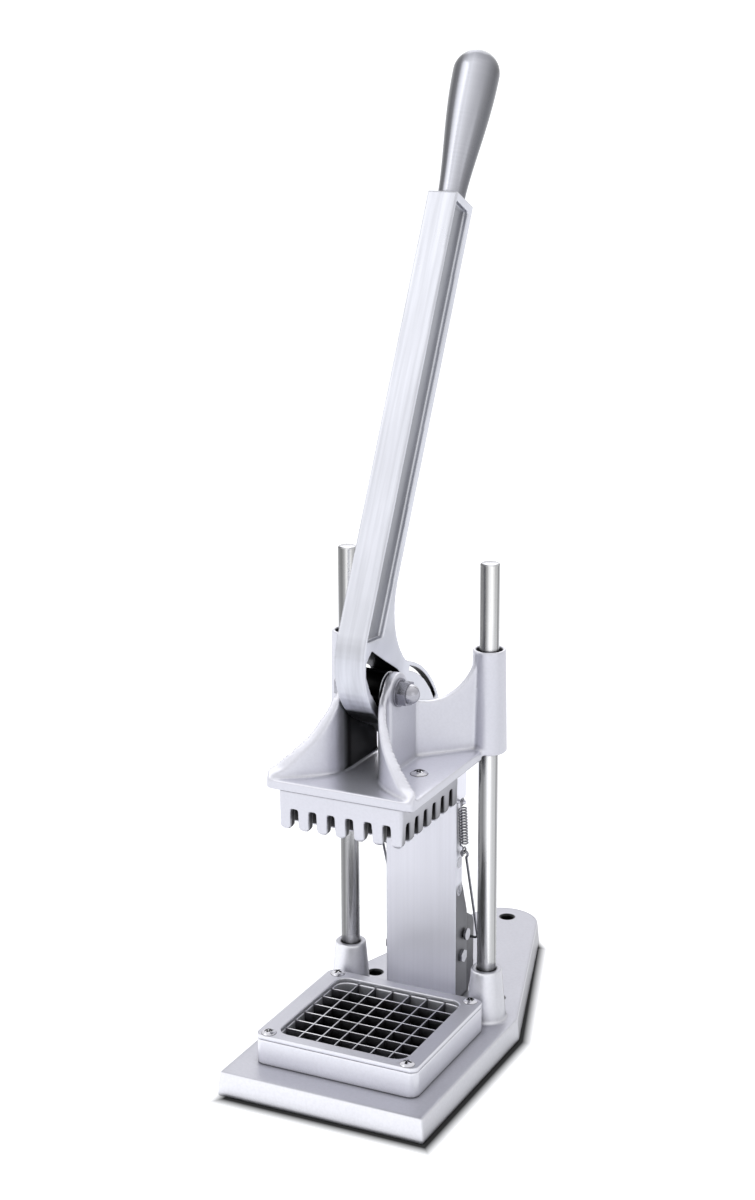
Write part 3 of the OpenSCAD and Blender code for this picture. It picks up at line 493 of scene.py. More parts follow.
    @staticmethod
    def _outline(tree: bpy.types.NodeTree) -> bpy.types.NodeSocket:
        """Paints a dark reflection on faces seen edge-on, standing in for dark walls beside a
        studio table.

        Args:
            tree: The material's tree.

        Returns:
            The socket with the factor, one on faces that are seen squarely.
        """
        node = NodeTools.add(tree, "ShaderNodeLayerWeight")
        node.inputs["Blend"].default_value = 0.5
        return NodeTools.spread(tree, node.outputs["Facing"], (0.72, 1.0),
                                (0.97, OUTLINE_DARK))

    @staticmethod
    def _scaled(tree: bpy.types.NodeTree, colour: bpy.types.NodeSocket,
                factor: bpy.types.NodeSocket) -> bpy.types.NodeSocket:
        """Scales a colour.

        Args:
            tree: The material's tree.
            colour: The colour.
            factor: What it is multiplied by.

        Returns:
            The socket with the scaled colour.
        """
        node = NodeTools.add(tree, "ShaderNodeVectorMath", operation="SCALE")
        tree.links.new(colour, node.inputs[0])
        tree.links.new(factor, node.inputs["Scale"])
        return node.outputs[0]

    @staticmethod
    def _vector(tree: bpy.types.NodeTree, operation: str, first: bpy.types.NodeSocket,
                second: object, output: str = "Vector") -> bpy.types.NodeSocket:
        """Joins two vectors.

        Args:
            tree: The material's tree.
            operation: The vector operation.
            first: The first vector.
            second: A second vector: fixed numbers, a socket or None.
            output: The name of the output that is wanted.

        Returns:
            That output.
        """
        node = NodeTools.add(tree, "ShaderNodeVectorMath", operation=operation)
        tree.links.new(first, node.inputs[0])
        if isinstance(second, tuple):
            node.inputs[1].default_value = second
        elif second is not None:
            tree.links.new(second, node.inputs[1])
        return node.outputs[output]

    def _sweep(self, tree: bpy.types.NodeTree,
               normal: bpy.types.NodeSocket) -> bpy.types.NodeSocket:
        """Paints reflection bands on a round bar from side to side, standing in for a studio's
        bright and dark walls.

        Args:
            tree: The material's tree.
            normal: The way that each face looks.

        Returns:
            The socket with the painted reflection.
        """
        across = self._vector(tree, "DOT_PRODUCT", normal, self.sweep_way, "Value")
        share = NodeTools.spread(tree, across, (-1.0, 0.0), (1.0, 1.0))
        ramp = tree.nodes.new("ShaderNodeValToRGB")
        stops = ramp.color_ramp.elements
        while len(stops) < len(self.sweep):
            stops.new(0.5)
        for stop, (position, value) in zip(stops, self.sweep):
            stop.position = position
            stop.color = (value, value, value, 1.0)
        tree.links.new(share, ramp.inputs["Fac"])
        return ramp.outputs["Color"]

    @staticmethod
    def _darkened(tree: bpy.types.NodeTree, dark: float,
                  *masks: bpy.types.NodeSocket) -> bpy.types.NodeSocket:
        """Turns masks into a factor that darkens where they all hold.

        Args:
            tree: The material's tree.
            dark: The factor where they hold.
            masks: The masks.

        Returns:
            The socket with the factor, one elsewhere.
        """
        return NodeTools.spread(tree, NodeTools.product(tree, *masks), (0.0, 1.0), (1.0, dark))

    @staticmethod
    def _within(tree: bpy.types.NodeTree, vector: bpy.types.NodeSocket,
                half: float) -> bpy.types.NodeSocket:
        """Marks vectors whose X part is smaller than a limit.

        Args:
            tree: The material's tree.
            vector: The vector, a place or a normal.
            half: The limit.

        Returns:
            The socket with the mask.
        """
        side = NodeTools.math(tree, "ABSOLUTE", NodeTools.axis(tree, vector, "X"))
        return NodeTools.spread(tree, side, (half, 1.0), (half * 1.05, 0.0))

    def _pit(self, tree: bpy.types.NodeTree, place: bpy.types.Node,
             pit: Pit) -> bpy.types.NodeSocket:
        """Paints shade on the walls that face a hole's middle.

        Args:
            tree: The material's tree.
            place: The texture coordinates.
            pit: The hole.

        Returns:
            The socket with the factor, one outside the hole.
        """
        where = place.outputs["Object"]
        masks = []
        if pit.depth:
            low, high = pit.depth
            masks.append(NodeTools.spread(tree, NodeTools.axis(tree, where, "Z"), (low, 1.0),
                                          (high, 0.0)))
        if any(pit.across):
            away = self._vector(tree, "SUBTRACT", where, pit.centre)
            flat = self._vector(tree, "MULTIPLY", away, pit.across)
            distance = self._vector(tree, "LENGTH", flat, None, "Value")
            masks.append(NodeTools.spread(tree, distance, (pit.reach, 1.0),
                                          (pit.reach + MM, 0.0)))
            if pit.ring:
                masks.append(NodeTools.spread(tree, distance, (pit.ring - 0.5 * MM, 0.0),
                                              (pit.ring, 1.0)))
            else:
                way = self._vector(tree, "NORMALIZE", flat, None)
                facing = self._vector(tree, "DOT_PRODUCT", way, place.outputs["Normal"],
                                      "Value")
                masks.append(NodeTools.spread(tree, facing, (-0.05, 0.0), (-0.25, 1.0)))
        if pit.front > -1.0:
            masks.append(NodeTools.spread(tree, NodeTools.axis(tree, where, "Y"),
                                          (pit.front, 0.0), (pit.front + FADE, 1.0)))
        if pit.half < 1.0:
            masks.append(self._within(tree, where, pit.half))
        return self._darkened(tree, pit.dark, *masks)

    def _slot(self, tree: bpy.types.NodeTree, place: bpy.types.Node,
              slot: Slot) -> bpy.types.NodeSocket:
        """Paints shade on the upright walls of a slot.

        Args:
            tree: The material's tree.
            place: The texture coordinates.
            slot: The slot.

        Returns:
            The socket with the factor, one outside the slot.
        """
        where = place.outputs["Object"]
        along = NodeTools.axis(tree, where, "Y")
        steep = NodeTools.math(tree, "ABSOLUTE",
                               NodeTools.axis(tree, place.outputs["Normal"], "Z"))
        return self._darkened(
            tree, slot.dark, self._within(tree, where, slot.half),
            NodeTools.spread(tree, along, (slot.front, 0.0), (slot.front + FADE, 1.0)),
            NodeTools.spread(tree, along, (slot.back, 1.0), (slot.back + 0.5 * MM, 0.0)),
            NodeTools.spread(tree, steep, (0.4, 1.0), (0.6, 0.0)),
            NodeTools.spread(tree, NodeTools.axis(tree, where, "Z"), (slot.top, 1.0),
                             (slot.top + FADE, 0.0)))

    def _cross(self, tree: bpy.types.NodeTree, place: bpy.types.Node,
               cross: Cross) -> bpy.types.NodeSocket:
        """Paints shade into the cross recesses and round the rims of a set of screws.

        Args:
            tree: The material's tree.
            place: The texture coordinates.
            cross: Where the recesses are and how large.

        Returns:
            The socket with the factor, one between recess and rim.
        """
        moved = self._vector(tree, "SUBTRACT", place.outputs["Object"],
                             (0.0, cross.middle_y, 0.0))
        folded = self._vector(tree, "ABSOLUTE", moved, None)
        local = self._vector(tree, "SUBTRACT", folded, (cross.out_x, cross.out_y, 0.0))
        off = self._vector(tree, "ABSOLUTE", local, None)
        off_x, off_y = (NodeTools.axis(tree, off, name) for name in "XY")
        arms = [NodeTools.spread(tree, NodeTools.math(tree, operation, off_x, off_y),
                                 (limit, 1.0), (limit * 1.2, 0.0))
                for operation, limit in (("MINIMUM", cross.wide), ("MAXIMUM", cross.long))]
        flat = self._vector(tree, "MULTIPLY", local, (1.0, 1.0, 0.0))
        distance = self._vector(tree, "LENGTH", flat, None, "Value")
        edge = NodeTools.spread(tree, distance, (cross.rim, 1.0), (cross.rim * 1.06, 0.3))
        return NodeTools.product(tree, self._darkened(tree, cross.dark, *arms), edge)

    def _recess(self, tree: bpy.types.NodeTree, place: bpy.types.Node,
                recess: Recess) -> bpy.types.NodeSocket:
        """Shades the sideways walls that lie deep or low.

        Args:
            tree: The material's tree.
            place: The texture coordinates.
            recess: Which walls they are and how dark.

        Returns:
            The socket with the factor, one on every other face.
        """
        where = place.outputs["Object"]
        edgewise = self._within(tree, place.outputs["Normal"], 0.7)
        return self._darkened(
            tree, recess.dark, self._within(tree, where, recess.half),
            NodeTools.spread(tree, edgewise, (0.0, 1.0), (1.0, 0.0)),
            NodeTools.spread(tree, NodeTools.axis(tree, where, "Z"), (recess.top, 1.0),
                             (recess.top + 3.0 * FADE, 0.0)))

    @staticmethod
    def _mix(tree: bpy.types.NodeTree, factor: bpy.types.NodeSocket,
             first: object, second: object) -> bpy.types.NodeSocket:
        """Mixes two colours.

        Args:
            tree: The material's tree.
            factor: The socket that says how much of the second shows.
            first: A colour or a socket.
            second: A colour or a socket.

        Returns:
            The socket with the mixed colour.
        """
        node = NodeTools.add(tree, "ShaderNodeMix", data_type="RGBA")
        tree.links.new(factor, node.inputs["Factor"])
        for name, value in (("A", first), ("B", second)):
            socket = next(s for s in node.inputs if s.name == name and s.type == "RGBA")
            if isinstance(value, tuple):
                socket.default_value = (*value, 1.0)
            else:
                tree.links.new(value, socket)
        return next(s for s in node.outputs if s.type == "RGBA")


class Finishes:
    """Every finish of the cutter, by name."""

    # Painted shade: each pit below darkens the walls inside a hole or gap, where shade would fall.
    CHUTE = Pit(centre=(0.0, GRID_Y, 0.0), across=(1.0, 1.0, 0.0), reach=62.0 * MM,
                depth=(6.0 * MM, 22.0 * MM))
    # Painted shade low down between the blades of the grid.
    CELLS = Pit(centre=(0.0, ROD_Y, 0.0), across=(0.0, 0.0, 0.0), reach=1.0,
                depth=(25.0 * MM, 33.6 * MM))
    # Painted shade in the lever's window, round its hub and in a crescent band.
    WINDOW = Pit(centre=(0.0, PIVOT.y - 14.2 * MM, PIVOT.z + 11.7 * MM),
                 across=(0.0, 1.0, 1.0), reach=34.0 * MM, half=9.5 * MM)
    HUB = Pit(centre=(0.0, PIVOT.y, PIVOT.z), across=(0.0, 1.0, 1.0), reach=22.0 * MM,
              dark=0.1, half=9.5 * MM, ring=6.0 * MM)
    BROW = Pit(centre=(0.0, PIVOT.y + 10.7 * MM, PIVOT.z - 58.2 * MM),
               across=(0.0, 1.0, 1.0), reach=69.0 * MM, half=9.3 * MM, ring=65.2 * MM,
               front=PIVOT.y + 24.0 * MM)
    # Painted shade in the base's mount holes.
    HOLES = tuple(Pit((x * MM, y * MM, 0.0), (1.0, 1.0, 0.0), 5.5 * MM)
                  for x, y in ((-46.0, 15.4), (46.0, 15.4), (0.0, 141.2)))
    # In each recipe the side and top colours paint faces lighter or darker as they are lit.
    RECIPES = (
        Finish("cast_grey", (0.95, 0.95, 1.0), (0.54, 0.54, 0.595), 0.42, 0.75, Grain.CAST,
               0.12, streak=0.05, edge=0.35, right=0.66, pits=(CHUTE, *HOLES)),
        Finish("cast_cover", (0.94, 0.94, 1.0), (0.52, 0.52, 0.575), 0.38, 0.75, Grain.CAST,
               0.1, streak=0.04, edge=0.3, right=0.80, pits=(CHUTE,)),
        Finish("satin_head", (0.73, 0.73, 0.79), (0.92, 0.92, 0.99), 0.36, 0.75, Grain.CAST,
               0.08, streak=0.04, edge=0.55, right=0.82,
               # Painted shade on the inner walls between the head's cheeks.
               slot=Slot(11.8 * MM, ROD_Y - 86.0 * MM)),
        Finish("satin_pusher", (0.73, 0.73, 0.79), (0.64, 0.64, 0.70), 0.36, 0.75, Grain.CAST,
               0.08, streak=0.04, edge=0.4, right=0.88,
               # Painted shade in the pusher's notches.
               slot=Slot(40.8 * MM, ROD_Y - 111.5 * MM, back=ROD_Y - 30.0 * MM, dark=0.04)),
        Finish("linished_lever", (0.70, 0.71, 0.77), (0.66, 0.67, 0.73), 0.32, 0.85,
               Grain.LINISHED, 0.25, streak=0.16, edge=0.2, lean=LEVER_LEAN,
               pits=(WINDOW, HUB, BROW),
               # Painted shade on the walls of the slot between the lever's sides.
               slot=Slot(4.6 * MM, PIVOT.y + 33.0 * MM, top=PIVOT.z + 30.0 * MM),
               # Painted shade in the lever's side groove.
               recess=Recess(9.2 * MM, 0.5)),
        Finish("turned_grip", (0.72, 0.73, 0.80), (0.42, 0.43, 0.48), 0.24, 1.0, Grain.TURNED,
               0.2, streak=0.05, edge=0.1, lean=LEVER_LEAN,
               # Painted reflection bands across the grip.
               sweep=((0.0, 0.30), (0.08, 0.17), (0.15, 0.25), (0.20, 0.50), (0.30, 0.90),
                      (0.40, 1.0), (0.50, 0.78), (0.60, 0.62), (0.70, 0.48), (0.80, 0.33),
                      (0.90, 0.21), (1.0, 0.16)),
               sweep_way=(0.916, 0.356, -0.183)),
        Finish("ground_rod", (1.0, 1.0, 1.0), (0.80, 0.80, 0.85), 0.24, 0.85, Grain.UPRIGHT,
               0.10, streak=0.04, edge=0.1,
               # Painted reflection bands across the rods.
               sweep=((0.0, 0.36), (0.08, 0.22), (0.20, 0.17), (0.28, 0.25), (0.34, 0.40),
                      (0.40, 0.70), (0.46, 0.95), (0.56, 1.0), (0.62, 0.72), (0.70, 0.54),
                      (0.84, 0.46), (0.88, 0.16), (0.93, 0.36), (1.0, 0.62))),
        Finish("brushed_sheet", (0.93, 0.93, 1.0), (0.7, 0.7, 0.75), 0.50, 0.6, Grain.UPRIGHT,
               # The guard's side walls are darkened below 98 mm.
               0.3, streak=0.04, edge=0.2, recess=Recess(0.9, 0.2, 98.0 * MM)),
        Finish("bright_fastener", (0.40, 0.40, 0.44), (0.66, 0.66, 0.71), 0.22, 1.0,
               Grain.TURNED, 0.2, streak=0.12, edge=0.0),
        Finish("cover_screw", (0.66, 0.66, 0.71), (0.82, 0.82, 0.87), 0.25, 1.0, Grain.TURNED,
               0.2, streak=0.1, edge=0.0,
               # Painted shade in the screws' cross recesses and round their rims.
               cross=Cross(48.8 * MM, 48.2 * MM, GRID_Y, 2.4 * MM, 0.6 * MM,
                           4.6 * MM)),
        Finish("pusher_screw", (0.60, 0.60, 0.65), (0.82, 0.82, 0.87), 0.25, 1.0, Grain.TURNED,
               0.2, streak=0.1, edge=0.0,
               # Painted shade in the screw's cross recess and round its rim.
               cross=Cross(32.0 * MM, 0.0, PUSHER_SCREW_Y, 2.8 * MM, 0.7 * MM, 5.3 * MM)),
        Finish("blade_steel", (0.42, 0.42, 0.46), (0.86, 0.86, 0.90), 0.35, 1.0, Grain.UPRIGHT,
               0.2, streak=0.1, edge=0.0,
               pits=(CELLS,)),
        # A shaded copy of the blade steel: painted shade on the lengthwise blades.
        Finish("blade_steel_shaded", (0.30, 0.30, 0.33), (0.45, 0.45, 0.49), 0.35, 1.0, Grain.UPRIGHT,
               0.2, streak=0.1, edge=0.0,
               pits=(CELLS,)),
        Finish("dark_steel", (0.10, 0.10, 0.11), (0.14, 0.14, 0.15), 0.40, 0.9, Grain.CAST, 0.4,
               streak=0.2, edge=0.0),
        Finish("bush_metal", (0.10, 0.09, 0.08), (0.16, 0.14, 0.11), 0.45, 1.0, Grain.TURNED, 0.3,
               streak=0.2, edge=0.1),
        Finish("spring_wire", (0.30, 0.30, 0.33), (0.42, 0.42, 0.45), 0.25, 1.0, Grain.TURNED, 0.2,
               streak=0.15, edge=0.0),
    )

    def __init__(self) -> None:
        """Builds every finish."""
        shared = SharedEffects()
        self._made = {recipe.name: recipe.build(shared) for recipe in self.RECIPES}

    def put_on(self, piece: bpy.types.Object, name: str) -> None:
        """Gives a piece one finish all over.

        Args:
            piece: A new piece or one of the frame's own.
            name: The finish's name.
        """
        material = self._made[name]
        if piece.material_slots:
            for slot in piece.material_slots:
                slot.material = material
        else:
            piece.data.materials.append(material)


class Shop:
    """Makes meshes and puts pieces on their bodies."""

    def __init__(self, finishes: Finishes) -> None:
        """Keeps the finishes.

        Args:
            finishes: Every finish, by name.
        """
        self.finishes = finishes

    def place(self, piece: bpy.types.Object, body: Body, finish: str, slot: str,
              *nodes: str) -> bpy.types.Object:
        """Dresses a new piece and lets it ride on its body in place of solids.

        Args:
            piece: The new piece, in the frame's axes.
            body: The body that it rides on.
            finish: The name of its finish.
            slot: The record's material slot; it is not used.
            nodes: The solids that it stands for.

        Returns:
            The piece.
        """
        self.finishes.put_on(piece, finish)
        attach(piece, body.value)
        if nodes:
            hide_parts(*nodes)
        LOG.info("%s: %d faces on %s", piece.name, len(piece.data.polygons), body.value)
        return piece

    @staticmethod
    def from_bmesh(name: str, bm: bmesh.types.BMesh) -> bpy.types.Object:
        """Makes a smooth-shaded object from a bmesh.

        Args:
            name: The object's name.
            bm: The bmesh, which is freed.

        Returns:
            The object.
        """
        bmesh.ops.recalc_face_normals(bm, faces=bm.faces)
        for face in bm.faces:
            face.smooth = True
        mesh = bpy.data.meshes.new(name)
        bm.to_mesh(mesh)
        bm.free()
        piece = bpy.data.objects.new(name, mesh)
        bpy.context.collection.objects.link(piece)
        return piece

    def softened(self, node: str, name: str, voxel: float, passes: int) -> bpy.types.Object:
        """Copies a solid and rounds its edges and inner corners as a casting's are.

        Args:
            node: The solid's name.
            name: The new piece's name.
            voxel: The size of the grid that the copy is remade on.
            passes: How often the surface is evened out.

        Returns:
            The new piece.
        """
        bm = bmesh.new()
        bm.from_mesh(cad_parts[node].data)
        bmesh.ops.remove_doubles(bm, verts=bm.verts, dist=WELD)
        piece = self.from_bmesh(name, bm)
        remake = piece.modifiers.new("remake", "REMESH")
        remake.mode = "VOXEL"
        remake.voxel_size = voxel
        even = piece.modifiers.new("even", "SMOOTH")
        even.factor = 0.5
        even.iterations = passes
        return self.applied(piece)

    @staticmethod
    def applied(piece: bpy.types.Object) -> bpy.types.Object:
        """Turns a piece's modifiers into its mesh.

        Args:
            piece: The piece with its modifiers.

        Returns:
            The same piece, without modifiers.
        """
        bpy.context.view_layer.update()
        depsgraph = bpy.context.evaluated_depsgraph_get()
        mesh = bpy.data.meshes.new_from_object(piece.evaluated_get(depsgraph))
        piece.modifiers.clear()
        piece.data = mesh
        for face in mesh.polygons:
            face.use_smooth = True
        return piece

    def turned(self, name: str, profile: list[tuple[float, float]],
               steps: int = 96) -> bpy.types.Object:
        """Spins an outline round the Z axis.

        Args:
            name: The piece's name.
            profile: Radius and height of each point of the outline.
            steps: How many steps the turn takes.

        Returns:
            The turned piece, standing on the origin.
        """
        bm = bmesh.new()
        points = [bm.verts.new((r, 0.0, z)) for r, z in profile]
        edges = [bm.edges.new(pair) for pair in zip(points, points[1:])]
        bmesh.ops.spin(bm, geom=points + edges, cent=(0, 0, 0), axis=(0, 0, 1),
                       angle=2 * math.pi, steps=steps, use_merge=True)
        bmesh.ops.remove_doubles(bm, verts=bm.verts, dist=WELD)
        return self.from_bmesh(name, bm)

    @staticmethod
    def move(piece: bpy.types.Object, matrix: Matrix) -> bpy.types.Object:
        """Moves a piece's mesh, so that its object stays at the origin.

        Args:
            piece: The piece.
            matrix: Where its mesh goes.

        Returns:
            The same piece.
        """
        piece.data.transform(matrix)
        return piece

    @staticmethod
    def wire(name: str, points: list[Vector], radius: float) -> bpy.types.Object:
        """Draws a round wire along a route.

        Args:
            name: The piece's name.
            points: The route.
            radius: The wire's radius.

        Returns:
            The wire as a mesh.
        """
        curve = bpy.data.curves.new(name, "CURVE")
        curve.dimensions = "3D"
        curve.bevel_depth = radius
        curve.bevel_resolution = 3
        curve.use_fill_caps = True
        spline = curve.splines.new("POLY")
        spline.points.add(len(points) - 1)
        for point, place in zip(spline.points, points):
            point.co = (*place, 1.0)
        drawn = bpy.data.objects.new(name + "_route", curve)
        bpy.context.collection.objects.link(drawn)
        depsgraph = bpy.context.evaluated_depsgraph_get()
        mesh = bpy.data.meshes.new_from_object(drawn.evaluated_get(depsgraph))
        bpy.data.objects.remove(drawn)
        mesh.name = name
        for face in mesh.polygons:
            face.use_smooth = True
        piece = bpy.data.objects.new(name, mesh)
        bpy.context.collection.objects.link(piece)
        return piece


@dataclass
class Castings:
    """The pieces that are cast: base, blade block, cover, head, pusher and lever."""

    shop: Shop

    PIECES = (
        ("base_casting", "base", 1.05, 3, Body.FRAME, "cast_grey", "cast_aluminium"),
        ("blade_block", "block", 0.7, 1, Body.FRAME, "cast_cover", "cast_aluminium"),
        ("cover_plate", "cover", 0.6, 1, Body.FRAME, "cast_cover", "cast_aluminium"),
        ("head_casting", "head", 0.9, 8, Body.CARRIAGE, "satin_head", "satin_aluminium"),
        ("pusher_block", "pusher", 0.7, 3, Body.CARRIAGE, "satin_pusher", "satin_aluminium"),
        ("lever_casting", "lever", 0.84, 3, Body.LEVER, "linished_lever", "satin_aluminium"),
        ("guard_channel", "guard", 0.6, 3, Body.FRAME, "brushed_sheet", "brushed_steel"),
    )

    def build(self) -> None:
        """Makes each casting from its solid."""
        for node, name, voxel, passes, body, finish, slot in self.PIECES:
            piece = self.shop.softened(node, name, voxel * MM, passes)
            self.shop.place(piece, body, finish, slot, node)


@dataclass
class Rods:
    """The two ground guide rods."""

    shop: Shop
    radius: float = 6.35 * MM
    half_x: float = 50.3 * MM
    foot: float = 6.0 * MM
    top: float = 329.2 * MM
    chamfer: float = 0.9 * MM
    ring_gap: float = 0.15 * MM

    def build(self) -> None:
        """Turns each rod and stands it in its socket."""
        profile = [(0.0, self.foot), (self.radius, self.foot),
                   (self.radius, self.top - self.chamfer),
                   (self.radius - self.chamfer, self.top), (0.0, self.top)]
        for side, name in ((-1, "left"), (1, "right")):
            rod = self.shop.turned(f"rod_{name}", self._with_rings(profile))
            self.shop.move(rod, Matrix.Translation((side * self.half_x, ROD_Y, 0.0)))
            self.shop.place(rod, Body.FRAME, "ground_rod", "ground_steel", f"guide_rod_{name}")

    def _with_rings(self, profile: list[tuple[float, float]]) -> list[tuple[float, float]]:
        """Adds a ring close to each corner, so that smooth shading stays crisp there.

        Args:
            profile: The outline's corners.

        Returns:
            The outline with its extra points.
        """
        points = [profile[0]]
        for before, corner, after in zip(profile, profile[1:], profile[2:]):
            for other in (before, after):
                way = Vector(other) - Vector(corner)
                points.append(tuple(Vector(corner) + way.normalized() * self.ring_gap))
        return points + [profile[-1]]


@dataclass
class Grip:
    """The turned grip at the end of the lever."""

    shop: Shop
    length: float = 99.0 * MM
    neck: float = 8.8 * MM
    widest: float = 15.0 * MM
    forward: float = 31.7 * MM
    start: float = 310.5 * MM
    lip: float = 0.8 * MM
    swell: float = 1.5
    rings: int = 40
    dome_step: int = 5

    def build(self) -> None:
        """Turns the grip and sets it on the lever's end."""
        dome = self.length - self.widest
        profile = [(0.0, 0.0), (self.neck - self.lip, 0.0), (self.neck, self.lip)]
        for share in (i / self.rings for i in range(1, self.rings + 1)):
            wider = (self.widest - self.neck) * math.sin(math.pi / 2 * share) ** self.swell
            profile.append((self.neck + wider, self.lip + (dome - self.lip) * share))
        profile += [(self.widest * math.cos(a), dome + self.widest * math.sin(a))
                    for a in map(math.radians, range(self.dome_step, 90, self.dome_step))]
        profile.append((0.0, self.length))
        grip = self.shop.turned("grip_handle", profile)
        self.shop.move(grip, Matrix.Translation(PIVOT) @ Matrix.Rotation(-LEVER_LEAN, 4, "X")
                       @ Matrix.Translation((0.0, -self.forward, self.start)))
        self.shop.place(grip, Body.LEVER, "turned_grip", "turned_aluminium", "grip")


@dataclass
class Springs:
    """The two return springs."""

    shop: Shop
    coil: float = 2.6 * MM
    wire: float = 0.55 * MM
    pitch: float = 2.1 * MM
    turns: int = 13
    hook: float = 2.3 * MM
    neck: float = 1.6 * MM
    lean: float = math.radians(6.0)
    top: Vector = Vector((29.5 * MM, ROD_Y + 6.5 * MM, 159.0 * MM))
    coil_steps: int = 20
    hook_steps: int = 14
    hook_turn: float = math.radians(300)

    def build(self) -> None:
        """Winds each spring with its hooks and hangs it beside the guard."""
        for side, name in ((-1, "left"), (1, "right")):
            tilt = Matrix.Rotation(self.lean, 4, "X")
            flip = Matrix.Scale(side, 4, (1, 0, 0))
            place = flip @ Matrix.Translation(self.top) @ tilt
            spring = self.shop.wire(f"spring_{name}", [place @ p for p in self._route()],
                                    self.wire)
            self.shop.place(spring, Body.FRAME, "spring_wire", "bright_steel",
                            f"return_spring_{name}")

    def _route(self) -> list[Vector]:
        """Works out the wire's route: top hook, coil, lower hook.

        Returns:
            The route's points about the coil's top.
        """
        drop = self.coil + self.neck
        length = self.turns * self.pitch
        angles = [self.hook_turn * i / self.hook_steps for i in range(self.hook_steps + 1)]
        hook = [Vector((0.0, -self.hook * math.cos(a), self.hook * math.sin(a)))
                for a in angles]
        top = [Vector((0.0, p.y, drop + p.z)) for p in reversed(hook)]
        low = [Vector((0.0, p.y, -length - drop - p.z)) for p in hook]
        coil = []
        for step in range(self.turns * self.coil_steps + 1):
            turned = 2 * math.pi * step / self.coil_steps
            coil.append(Vector((self.coil * math.sin(turned), -self.coil * math.cos(turned),
                                -self.pitch * step / self.coil_steps)))
        return top + coil + low


@dataclass
class Fittings:
    """The frame's own solids that stay, each with its finish."""

    shop: Shop

    FINISHES = {
        "bright_fastener": ("guard_bracket_bolts", "guard_side_bolts", "guard_cross_pin",
                            "track_bolts", "track_spacers", "pivot_bolt", "acorn_nut",
                            "pivot_washers"),
        "cover_screw": ("cover_screws",),
        "pusher_screw": ("pusher_screws",),
        "blade_steel": ("blades_crosswise",),
        "blade_steel_shaded": ("blades_lengthwise",),
        "dark_steel": ("rod_retaining_bolts", "guard_bracket", "track_plate", "track_pin_clips"),
        "spring_wire": ("spring_link_left", "spring_link_right"),
        "bush_metal": ("sleeve_bush_left", "sleeve_bush_right", "hub_bush"),
        "ground_rod": ("grip_stud", "track_pin"),
    }

    def build(self) -> None:
        """Puts each finish on its pieces."""
        for finish, nodes in self.FINISHES.items():
            for node in nodes:
                self.shop.finishes.put_on(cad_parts[node], finish)
            LOG.info("%s on %s", finish, ", ".join(nodes))


@dataclass(frozen=True)
class ContactShadow:
    """A painted contact shadow on the paper: each pair is where it is darkest and where it is
    clear.
    """

    shift: float = 4.0 * MM
    beside: tuple[float, float] = (70.5 * MM, 77.5 * MM)
    before: tuple[float, float] = (-161.5 * MM, -170.0 * MM)
    behind: tuple[float, float] = (148.0 * MM, 157.0 * MM)
    taper: tuple[tuple[float, float], ...] = ((-8.0 * MM, 0.0), (132.0 * MM, 46.0 * MM))
    nose: tuple[tuple[float, float], ...] = ((134.0 * MM, 0.0), (159.0 * MM, 24.0 * MM))


